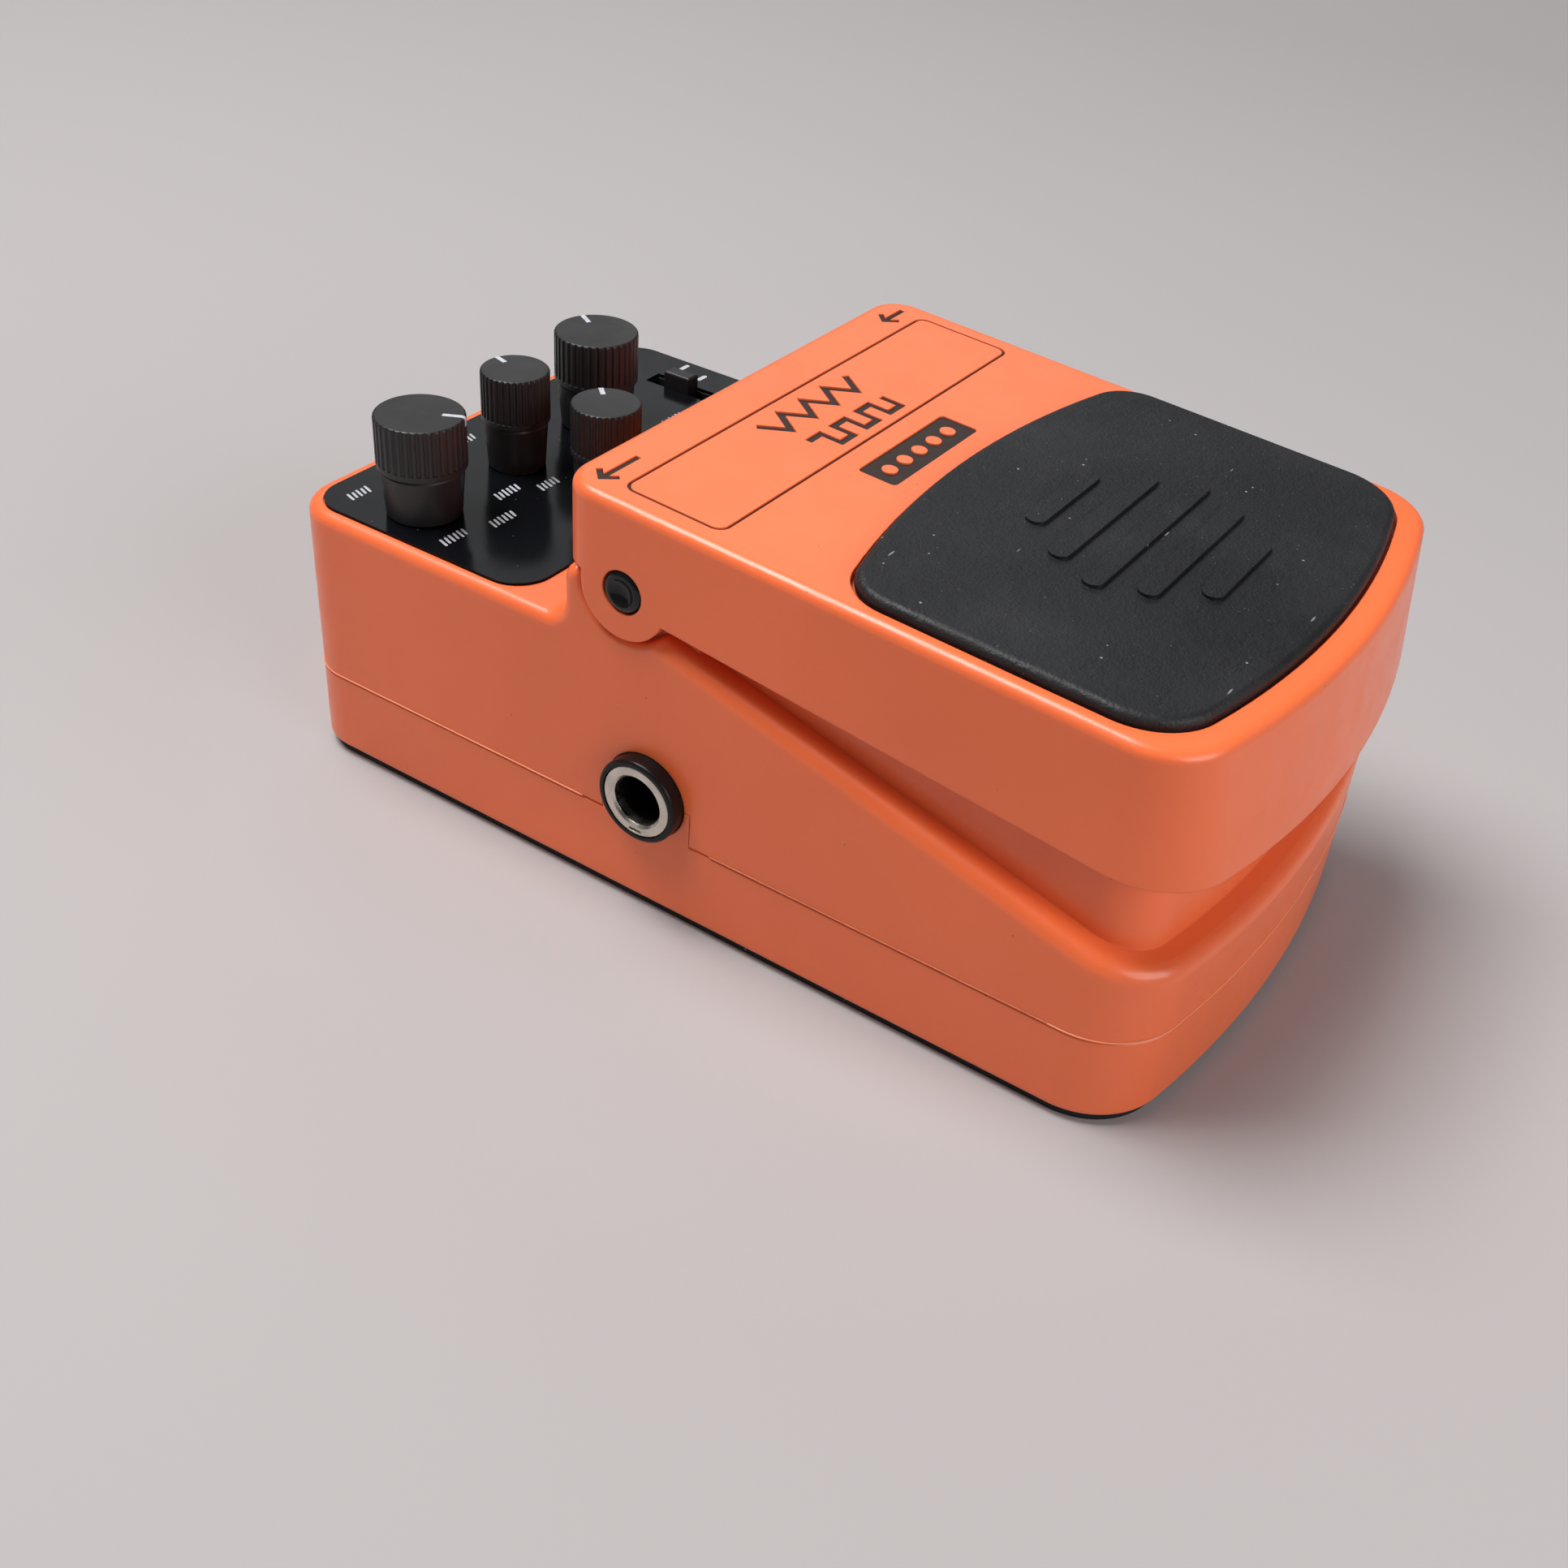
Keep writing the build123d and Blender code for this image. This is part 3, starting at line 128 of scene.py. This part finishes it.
def add_lights():
    for light in LIGHTS:
        add_area(*light)
    world = bpy.data.worlds.new("studio")
    world.use_nodes = True
    background = world.node_tree.nodes["Background"]
    background.inputs["Color"].default_value = (*WORLD_COLOR, 1)
    background.inputs["Strength"].default_value = WORLD_STRENGTH
    bpy.context.scene.world = world
    bpy.context.scene.view_settings.view_transform = "Standard"


# ------------------------------------------------------------------ material helpers
# the band of a noise's values that holds nearly all of its variation
NOISE_LOW = 0.3
NOISE_HIGH = 0.7
EDGE_SAMPLES = 4


class Shader:
    """A node material with a Principled BSDF, textured in the object's own metres."""

    def __init__(
        self, name, color, roughness, metallic=0.0, specular=0.5, coat=0.0, coat_roughness=0.1
    ):
        self.material = bpy.data.materials.new(name)
        self.material.use_nodes = True
        self.tree = self.material.node_tree
        self.bsdf = self.tree.nodes["Principled BSDF"]
        self.put("Base Color", (*color, 1))
        self.put("Roughness", roughness)
        self.put("Metallic", metallic)
        self.put("Specular IOR Level", specular)
        self.put("Coat Weight", coat)
        self.put("Coat Roughness", coat_roughness)
        self.color = color
        self.place = self.add("ShaderNodeTexCoord").outputs["Object"]

    def put(self, socket, value):
        self.bsdf.inputs[socket].default_value = value

    def add(self, kind, **inputs):
        node = self.tree.nodes.new(kind)
        for key, value in inputs.items():
            socket = node.inputs[key.replace("_", " ")]
            if isinstance(value, bpy.types.NodeSocket):
                self.tree.links.new(value, socket)
            else:
                socket.default_value = value
        return node

    def link(self, output, socket):
        self.tree.links.new(output, socket)

    def noise(self, scale, detail=3.0, roughness=0.55, stretch=None):
        place = self.place
        if stretch:
            place = self.add("ShaderNodeMapping", Vector=place, Scale=stretch).outputs["Vector"]
        node = self.add(
            "ShaderNodeTexNoise", Vector=place, Scale=scale, Detail=detail, Roughness=roughness
        )
        return node.outputs["Fac"]

    def spots(self, scale, size):
        """1 inside sparse small spots, 0 elsewhere."""
        cells = self.add("ShaderNodeTexVoronoi", Vector=self.place, Scale=scale)
        return self.ramp(cells.outputs["Distance"], size * 0.6, size, 1.0, 0.0)

    def ramp(self, value, low, high, from_value, to_value):
        """from_value up to low, to_value from high on, and a straight line between them."""
        node = self.add("ShaderNodeMapRange", Value=value)
        limits = {"From Min": low, "From Max": high, "To Min": from_value, "To Max": to_value}
        for key, number in limits.items():
            node.inputs[key].default_value = number
        node.clamp = True
        return node.outputs["Result"]

    def math(self, operation, first, second):
        """Two outputs or numbers put together by a math node."""
        node = self.tree.nodes.new("ShaderNodeMath")
        node.operation = operation
        for socket, value in zip(node.inputs, (first, second)):
            if isinstance(value, bpy.types.NodeSocket):
                self.link(value, socket)
            else:
                socket.default_value = value
        return node.outputs[0]

    def mix(self, factor, first, second):
        node = self.tree.nodes.new("ShaderNodeMix")
        node.data_type = "RGBA"
        # a colour mix keeps its factor in socket 0 and its two colours in sockets 6 and 7
        for number, value in ((0, factor), (6, first), (7, second)):
            socket = node.inputs[number]
            if isinstance(value, bpy.types.NodeSocket):
                self.link(value, socket)
            else:
                socket.default_value = value if isinstance(value, float) else (*value, 1)
        return node.outputs[2]

    def set_color(self, output):
        self.link(output, self.bsdf.inputs["Base Color"])

    def vary_color(self, amount, scale):
        """Slow drift between a little darker and a little lighter."""
        dark = tuple(c * (1 - amount) for c in self.color)
        light = tuple(min(1, c * (1 + amount)) for c in self.color)
        drift = self.ramp(self.noise(scale, 2.0), NOISE_LOW, NOISE_HIGH, 0.0, 1.0)
        return self.mix(drift, dark, light)

    def vary_roughness(self, low, high, scale, stretch=None):
        """Patches between two roughnesses."""
        value = self.ramp(self.noise(scale, 4.0, 0.6, stretch), NOISE_LOW, NOISE_HIGH, low, high)
        self.link(value, self.bsdf.inputs["Roughness"])

    def bump(self, height, distance, strength=1.0, edge=0.0):
        """Surface relief of that depth in metres. An edge radius also softens sharp corners."""
        node = self.add("ShaderNodeBump", Height=height, Strength=strength, Distance=distance)
        if edge:
            rounded = self.add("ShaderNodeBevel", Radius=edge)
            rounded.samples = EDGE_SAMPLES
            self.link(rounded.outputs["Normal"], node.inputs["Normal"])
        self.link(node.outputs["Normal"], self.bsdf.inputs["Normal"])


# ------------------------------------------------------------------ materials
def orange_plastic():
    """Satin moulded ABS with a fine spark texture, faint handling marks and a few specks."""
    orange = (0.95, 0.172, 0.05)
    s = Shader("orange_abs", orange, 0.36, specular=0.5, coat=0.25, coat_roughness=0.14)
    s.put("Subsurface Weight", 0.06)
    s.put("Subsurface Radius", (1.0, 0.35, 0.15))
    s.put("Subsurface Scale", 0.0012)
    base = s.vary_color(0.05, 30)
    specks = s.spots(260, 0.028)
    s.set_color(s.mix(s.math("MULTIPLY", specks, 0.8), base, (0.05, 0.02, 0.012)))
    s.vary_roughness(0.33, 0.46, 220)
    grain = s.noise(5200, 2.0)
    scratches = s.noise(900, 2.0, 0.5, (0.06, 1.0, 1.0))
    relief = s.math("ADD", grain, s.math("MULTIPLY", scratches, 0.25))
    s.bump(relief, 0.000012, 0.55, 0.00022)
    return s.material


def black_rubber():
    """Matt moulded rubber with a pebbled skin, pale dust and small hairs of lint."""
    s = Shader("black_rubber", (0.0115, 0.012, 0.014), 0.5, specular=0.34)
    base = s.vary_color(0.25, 45)
    dust = s.math("MAXIMUM", s.spots(330, 0.055), s.spots(900, 0.05))
    haze = s.ramp(s.noise(60, 5.0, 0.65), 0.5, 0.85, 0.0, 0.25)
    # stretched cells turned aslant, whose middles are the hairs
    slant = s.add("ShaderNodeMapping", Vector=s.place, Scale=(0.16, 1.0, 1.0), Rotation=(0, 0, 0.9))
    hairs = s.add("ShaderNodeTexVoronoi", Vector=slant.outputs["Vector"], Scale=420.0)
    hair = s.ramp(hairs.outputs["Distance"], 0.03, 0.05, 0.55, 0.0)
    dust = s.math("MULTIPLY", dust, 0.7)
    haze = s.math("MULTIPLY", haze, 0.12)
    dusty = s.math("MAXIMUM", dust, s.math("MAXIMUM", hair, haze))
    s.set_color(s.mix(dusty, base, (0.42, 0.42, 0.43)))
    s.vary_roughness(0.40, 0.58, 300)
    s.bump(s.math("ADD", s.noise(3000, 3.0), s.noise(900, 2.0)), 0.00012, 0.8, 0.00015)
    return s.material


def satin_black(name, color, roughness, grain=4000, depth=0.00001, dust=0.02, specular=0.5):
    """Moulded or printed black with fine grain and a little dust."""
    s = Shader(name, color, roughness, specular=specular)
    base = s.vary_color(0.2, 60)
    specks = s.spots(420, dust * 1.6)
    s.set_color(s.mix(s.math("MULTIPLY", specks, 0.35), base, (0.35, 0.35, 0.36)))
    s.vary_roughness(roughness * 0.85, roughness * 1.2, 260)
    s.bump(s.noise(grain, 2.0), depth, 0.5, 0.00012)
    return s.material


def plain(name, color, roughness, metallic=0.0, grain=3000, depth=0.000008):
    """A simple surface with drift in colour, in gloss and in relief."""
    s = Shader(name, color, roughness, metallic)
    s.set_color(s.vary_color(0.08, 90))
    s.vary_roughness(roughness * 0.8, roughness * 1.25, 350)
    s.bump(s.noise(grain, 3.0), depth, 0.5, 0.0001)
    return s.material


def turned_metal(name, color, roughness):
    """Plated metal with fine turning marks and dull patches."""
    s = Shader(name, color, roughness, 1.0)
    s.set_color(s.vary_color(0.12, 400))
    s.vary_roughness(roughness * 0.7, roughness * 1.5, 700)
    s.bump(s.noise(1500, 2.0, 0.5, (8.0, 1.0, 1.0)), 0.000006, 0.4, 0.0001)
    return s.material


def circuit_green():
    """Solder mask with traces and pads."""
    mask = (0.018, 0.11, 0.04)
    s = Shader("circuit_board", mask, 0.3, specular=0.5, coat=0.3)
    cells = s.add("ShaderNodeTexVoronoi", Vector=s.place, Scale=420.0)
    cells.distance = "CHEBYCHEV"
    traces = s.ramp(cells.outputs["Distance"], 0.36, 0.4, 0.0, 1.0)
    pads = s.spots(500, 0.16)
    lined = s.mix(traces, mask, (0.03, 0.17, 0.06))
    s.set_color(s.mix(pads, lined, (0.7, 0.68, 0.6)))
    s.vary_roughness(0.25, 0.4, 200)
    s.bump(traces, 0.00003, 0.5)
    return s.material


def red_lens():
    """Clear red plastic of the status light."""
    s = Shader("red_lens", (0.42, 0.008, 0.006), 0.12, specular=0.6, coat=0.5)
    s.put("Transmission Weight", 0.35)
    s.set_color(s.vary_color(0.15, 700))
    s.vary_roughness(0.08, 0.16, 900)
    s.bump(s.noise(1200, 2.0), 0.000004, 0.3)
    return s.material


def assign(material, *names):
    """Makes it the only material of each named CAD node."""
    for name in names:
        mesh = nodes[name].data
        mesh.materials.clear()
        mesh.materials.append(material)


def paint_nodes():
    """Gives every CAD node its material."""
    orange = orange_plastic()
    rubber = black_rubber()
    assign(orange, "upper_housing", "lower_housing", "treadle")
    assign(rubber, "treadle_pad", "base_mat")
    assign(satin_black("engraving_paint", (0.022, 0.010, 0.008), 0.55), "treadle_markings")
    film = satin_black(
        "label_film", (0.004, 0.0045, 0.006), 0.15, 2500, 0.000004, 0.03, specular=0.13
    )
    assign(film, "panel_label")
    knob = satin_black(
        "knob_plastic", (0.020, 0.0195, 0.021), 0.40, 3600, 0.00002, 0.01, specular=0.42
    )
    assign(knob, *(n for n in nodes if n.startswith("knob_")))
    gloss = satin_black("gloss_black", (0.006, 0.006, 0.0065), 0.2, 1500, 0.000004, specular=0.35)
    assign(gloss, "hinge_pin_left", "hinge_pin_right")
    moulded = satin_black("moulded_black", (0.016, 0.016, 0.017), 0.4, 3000, 0.000015)
    assign(
        moulded,
        "footswitch_plunger",
        "footswitch_body",
        "mode_switch_slider",
        "mode_switch_body",
        "light_spacer",
        "battery_snap",
    )
    collar = satin_black(
        "jack_moulding", (0.007, 0.006, 0.006), 0.30, 2600, 0.000012, specular=0.22
    )
    assign(collar, "output_jack_body", "input_jack_body", "power_jack_body")
    nickel = turned_metal("nickel_plate", (0.60, 0.56, 0.50), 0.26)
    assign(nickel, "output_jack_ring", "input_jack_ring", "power_jack_pin")
    steel = turned_metal("spring_steel", (0.56, 0.56, 0.57), 0.28)
    assign(steel, "treadle_spring", "hinge_pin_spring_left", "hinge_pin_spring_right")
    zinc = turned_metal("zinc_plate", (0.62, 0.62, 0.60), 0.34)
    assign(zinc, "housing_screws", "board_screws", "board_link_pins")
    bronze = turned_metal("contact_bronze", (0.72, 0.52, 0.28), 0.3)
    assign(bronze, "output_jack_contacts", "input_jack_contacts")
    assign(circuit_green(), "main_board", "control_board", "switch_board")
    assign(plain("component_black", (0.02, 0.02, 0.021), 0.45), "board_components")
    assign(red_lens(), "status_light")
    assign(plain("battery_wrap", (0.05, 0.05, 0.055), 0.3, metallic=0.4), "battery")
    assign(plain("foam", (0.05, 0.05, 0.05), 0.95, depth=0.0001, grain=1500), "battery_foam")
    assign(plain("lead_red", (0.45, 0.01, 0.01), 0.4), "battery_lead_red")
    assign(plain("lead_black", (0.015, 0.015, 0.015), 0.4), "battery_lead_black")
    assign(
        plain("shaft_plastic", (0.62, 0.60, 0.55), 0.4),
        *(n for n in nodes if n.startswith("shaft_")),
    )
    assign(
        plain("potentiometer_case", (0.03, 0.06, 0.13), 0.4),
        *(n for n in nodes if n.startswith("potentiometer_")),
    )


# ------------------------------------------------------------------ printed and painted details
PRINT_LIFT = 0.03 * MM
POINTER_WIDTH = 0.62 * MM
POINTER_THICKNESS = 0.06 * MM
BAR_END_STEPS = 5
# where each knob points at rest, clockwise in degrees from straight up on the panel
POINTER_ANGLE = {"level": 150, "treble": 15, "gain": 30, "bass": 42}


def white_print():
    """Slightly bluish white paint, a little worn."""
    s = Shader("white_print", (0.50, 0.52, 0.57), 0.45, specular=0.4)
    s.set_color(s.vary_color(0.14, 900))
    s.vary_roughness(0.35, 0.55, 800)
    s.bump(s.noise(4000, 2.0), 0.000006, 0.5)
    return s.material


def add_piece(name, body, material, mesh_builder):
    """A new mesh piece, in the row frame, that rides on a CAD body."""
    mesh = bpy.data.meshes.new(name)
    shape = bmesh.new()
    mesh_builder(shape)
    bmesh.ops.recalc_face_normals(shape, faces=shape.faces)
    shape.to_mesh(mesh)
    shape.free()
    mesh.materials.append(material)
    piece = bpy.data.objects.new(name, mesh)
    bpy.context.collection.objects.link(piece)
    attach(piece, body)
    return piece


def bar(shape, start, end, width, low, high):
    """A flat bar with round ends from start to end, between two heights."""
    start, end = Vector(start), Vector(end)
    along = (end - start).normalized()
    side = Vector((-along.y, along.x))
    rim = []
    for centre, first in ((end, -90), (start, 90)):
        for k in range(BAR_END_STEPS + 1):
            turn = math.radians(first + 180 * k / BAR_END_STEPS)
            rim.append(centre + 0.5 * width * (math.cos(turn) * along + math.sin(turn) * side))
    top = [shape.verts.new((p.x, p.y, high)) for p in rim]
    base = [shape.verts.new((p.x, p.y, low)) for p in rim]
    shape.faces.new(top)
    for k in range(len(rim)):
        n = (k + 1) % len(rim)
        shape.faces.new((base[k], base[n], top[n], top[k]))


def add_pointers(paint):
    """Painted line on each knob, from half way out on its top to a little below its rim."""
    for knob, angle in POINTER_ANGLE.items():
        low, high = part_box("knob_" + knob)
        centre = Vector(((low[0] + high[0]) / 2, (low[1] + high[1]) / 2))
        radius = (high[0] - low[0]) / 2
        top = high[2]
        turn = math.radians(angle)
        out = Vector((math.sin(turn), math.cos(turn)))
        side = Vector((out.y, -out.x))
        # distance from the knob's axis and height, from the inner end round the rim's rounding
        profile = [
            (0.50 * radius, top + PRINT_LIFT),
            (0.75 * radius, top + PRINT_LIFT),
            (radius - 0.40 * MM, top + PRINT_LIFT),
            (radius - 0.16 * MM, top - 0.04 * MM),
            (radius - 0.02 * MM, top - 0.18 * MM),
            (radius + PRINT_LIFT, top - 0.38 * MM),
            (radius + PRINT_LIFT, top - 1.1 * MM),
        ]

        def build(shape):
            rows = []
            for reach, height in profile:
                row = []
                for share in (-0.5, 0.5):
                    place = centre + out * reach + side * (share * POINTER_WIDTH)
                    row.append(shape.verts.new((place.x, place.y, height)))
                rows.append(row)
            for a, b in zip(rows, rows[1:]):
                shape.faces.new((a[0], a[1], b[1], b[0]))

        piece = add_piece("pointer_" + knob, "knob_" + knob, paint, build)
        solid = piece.modifiers.new("thickness", "SOLIDIFY")
        solid.thickness = POINTER_THICKNESS
        solid.offset = 0.0


# groups of slanted ticks on the panel, in mm: x and y of the middle, number of ticks
TICK_GROUPS = [
    (-27.0, 55.4, 5),
    (-14.8, 42.0, 6),
    (-9.8, 39.6, 5),
    (-20.4, 37.8, 6),
    (-27.6, 39.2, 6),
    (-8.0, 55.6, 6),
    (8.0, 56.8, 6),
    (2.6, 38.4, 5),
    (15.6, 39.0, 6),
    (-15.4, 29.0, 5),
    (-1.0, 29.0, 6),
]
TICK_PITCH = 0.72
TICK_LEAN = 0.22
TICK_HALF_LENGTH = 0.70
TICK_SHORTER = 0.12
TICK_WIDTH = 0.34 * MM
# short bars beside the slide switch, in mm: x and y of the middle
SWITCH_MARKS = [(30.0, 48.0), (28.8, 44.0)]
SWITCH_MARK_HALF = 0.7
SWITCH_MARK_WIDTH = 0.7 * MM


def add_panel_prints(paint):
    """Marks that say nothing on the black panel: slanted ticks by the knobs, bars by the switch."""
    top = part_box("panel_label")[1][2]
    low, high = top - PRINT_LIFT, top + PRINT_LIFT
    for number, (x, y, count) in enumerate(TICK_GROUPS):

        def build(shape):
            for k in range(count):
                middle = Vector((x + TICK_PITCH * (k - (count - 1) / 2), y)) * MM
                # every second tick is a little shorter
                reach = Vector((TICK_LEAN, TICK_HALF_LENGTH - TICK_SHORTER * (k % 2))) * MM
                bar(shape, middle - reach, middle + reach, TICK_WIDTH, low, high)

        add_piece("panel_ticks_%d" % number, "housing", paint, build)
    for number, (x, y) in enumerate(SWITCH_MARKS):

        def build(shape):
            left = Vector((x - SWITCH_MARK_HALF, y)) * MM
            right = Vector((x + SWITCH_MARK_HALF, y)) * MM
            bar(shape, left, right, SWITCH_MARK_WIDTH, low, high)

        add_piece("switch_mark_%d" % number, "housing", paint, build)


# ------------------------------------------------------------------ moulding line and springs
# the two shells meet in a thin raised moulding line; its pale colour all round is a painted
# highlight of its lit edge
SEAM_LINE_RADIUS = 0.10 * MM
SEAM_LINE_OUT = 0.02 * MM
SEAM_STEP = 1.5 * MM
# the outline is read below the lower shell's rim, and the line lies above the rim
SEAM_DROP = 0.3 * MM
SEAM_LIFT = 0.08 * MM
# half the width of the tab that steps up round a jack
JACK_TAB_HALF = 8.6 * MM
# the rim is looked for within this distance of the rear
REAR_BAND = 0.4 * MM
SAME_HEIGHT = 0.02 * MM
SAME_POINT = 0.05 * MM
# a turn smaller than this is rounding error, in square metres
INWARD_TURN = -1e-10


def seam_outline(height):
    """Corner points of the lower shell's outer wall at that height, in order round the pedal."""
    mesh = nodes["lower_housing"].data
    points = [v.co.copy() for v in mesh.vertices if abs(v.co.z - height) < SAME_HEIGHT]
    points.sort(key=lambda p: math.atan2(p.y, p.x))
    outline = []
    for point in points:
        flat = point.to_2d()
        if outline and (flat - outline[-1]).length < SAME_POINT:
            continue
        outline.append(flat)
    # points inside the line between their neighbours go, until only the outer wall is left
    changed = True
    while changed:
        changed = False
        for k in range(len(outline)):
            before, here, after = outline[k - 1], outline[k], outline[(k + 1) % len(outline)]
            if (here - before).cross(after - here) < INWARD_TURN:
                outline.pop(k)
                changed = True
                break
    return outline


def add_seam_lines():
    """Raised line round the joint of the two shells, left out where the jack tabs step up. Its pale
    colour is a painted highlight.
    """
    points = [v.co for v in nodes["lower_housing"].data.vertices]
    height = max(p.z for p in points if p.y > cad_high[1] - REAR_BAND)
    outline = seam_outline(height - SEAM_DROP)
    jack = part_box("output_jack_ring")
    jack_y = (jack[0][1] + jack[1][1]) / 2
    rear_limit = cad_high[1] - SEAM_LINE_RADIUS
    # pale orange, lighter than the shell: a painted highlight along the whole line
    line = plain("moulding_line_painted_highlight", (0.98, 0.33, 0.17), 0.3, depth=0.00002)
    runs = [[]]
    count = len(outline)
    for k in range(count + 1):
        a, b = outline[k % count], outline[(k + 1) % count]
        steps = max(1, int((b - a).length / SEAM_STEP))
        for step in range(steps):
            place = a.lerp(b, step / steps)
            if abs(place.y - jack_y) < JACK_TAB_HALF:
                if runs[-1]:
                    runs.append([])
                continue
            out = place.normalized() * SEAM_LINE_OUT
            runs[-1].append((place.x + out.x, min(place.y + out.y, rear_limit), height + SEAM_LIFT))
    for number, run in enumerate(r for r in runs if len(r) > 2):
        curve = bpy.data.curves.new("moulding_line_%d" % number, "CURVE")
        curve.dimensions = "3D"
        curve.bevel_depth = SEAM_LINE_RADIUS
        curve.bevel_resolution = 2
        spline = curve.splines.new("POLY")
        spline.points.add(len(run) - 1)
        for point, place in zip(spline.points, run):
            point.co = (*place, 1)
        curve.materials.append(line)
        piece = bpy.data.objects.new(curve.name, curve)
        bpy.context.collection.objects.link(piece)
        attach(piece, "housing")


# each spring's travel: the joint's travel and a little room besides
PIN_TRAVEL = 2.7 * MM
TREADLE_TURN = math.radians(3.0)


def add_springs():
    """Each CAD spring again as a copy of its mesh that rides on the housing, in place of the hidden
    CAD node.
    """
    pin_y = sum(corner[1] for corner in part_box("hinge_pin_left")) / 2
    # the spring's front edge, furthest from the pins, goes down the most
    treadle_travel = (pin_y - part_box("treadle_spring")[0][1]) * math.sin(TREADLE_TURN)
    # node, joint, axis, corner at the end that stays still, travel
    springs = (
        ("treadle_spring", "treadle_press", 2, 0, treadle_travel),
        ("hinge_pin_spring_left", "hinge_pin_left_push", 0, 1, PIN_TRAVEL),
        ("hinge_pin_spring_right", "hinge_pin_right_push", 0, 0, PIN_TRAVEL),
    )
    for node, joint, axis, fixed_end, travel in springs:
        coil = bpy.data.objects.new("coil_" + node, nodes[node].data.copy())
        bpy.context.collection.objects.link(coil)
        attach(coil, "housing")
        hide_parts(node)
        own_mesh(coil)


# ------------------------------------------------------------------ floor and background
FLOOR_HALF = 6.0
DOME_RADIUS = FLOOR_HALF * 0.9
BACKDROP_COLOR = (0.52, 0.50, 0.505)
# distances from the pedal, in metres, at which the floor starts to glow and glows fully
GLOW_START = 0.45
GLOW_FULL = 1.9
GLOW_STRENGTH = 0.94


def floor_surface():
    """Pale matt floor that glows a little where the lights don't reach."""
    s = Shader("floor", (0.43, 0.41, 0.415), 0.75, specular=0.25)
    s.set_color(s.vary_color(0.02, 3))
    reach = s.add("ShaderNodeVectorMath", Vector=s.place)
    reach.operation = "LENGTH"
    glow = s.ramp(reach.outputs["Value"], GLOW_START, GLOW_FULL, 0.0, GLOW_STRENGTH)
    s.link(glow, s.bsdf.inputs["Emission Strength"])
    s.put("Emission Color", (*BACKDROP_COLOR, 1))
    return s.material


def add_floor():
    mesh = bpy.data.meshes.new("floor")
    corners = [(-1, -1), (1, -1), (1, 1), (-1, 1)]
    mesh.from_pydata([(x * FLOOR_HALF, y * FLOOR_HALF, 0) for x, y in corners], [], [(0, 1, 2, 3)])
    mesh.materials.append(floor_surface())
    floor = bpy.data.objects.new("floor", mesh)
    bpy.context.collection.objects.link(floor)


def add_backdrop():
    """Pale dome round the pedal, so that low views end in plain colour. Only the camera sees it."""
    material = bpy.data.materials.new("backdrop")
    material.use_nodes = True
    tree = material.node_tree
    tree.nodes.clear()
    glow = tree.nodes.new("ShaderNodeEmission")
    glow.inputs["Color"].default_value = (*BACKDROP_COLOR, 1)
    end = tree.nodes.new("ShaderNodeOutputMaterial")
    tree.links.new(glow.outputs[0], end.inputs["Surface"])
    mesh = bpy.data.meshes.new("backdrop")
    shape = bmesh.new()
    bmesh.ops.create_uvsphere(shape, u_segments=48, v_segments=24, radius=DOME_RADIUS)
    shape.to_mesh(mesh)
    shape.free()
    mesh.materials.append(material)
    dome = bpy.data.objects.new("backdrop", mesh)
    dome.visible_diffuse = False
    dome.visible_glossy = False
    dome.visible_transmission = False
    dome.visible_shadow = False
    bpy.context.collection.objects.link(dome)


# ------------------------------------------------------------------ the scene
add_camera()
add_lights()
paint_nodes()
add_springs()
white = white_print()
add_seam_lines()
add_pointers(white)
add_panel_prints(white)
add_floor()
add_backdrop()
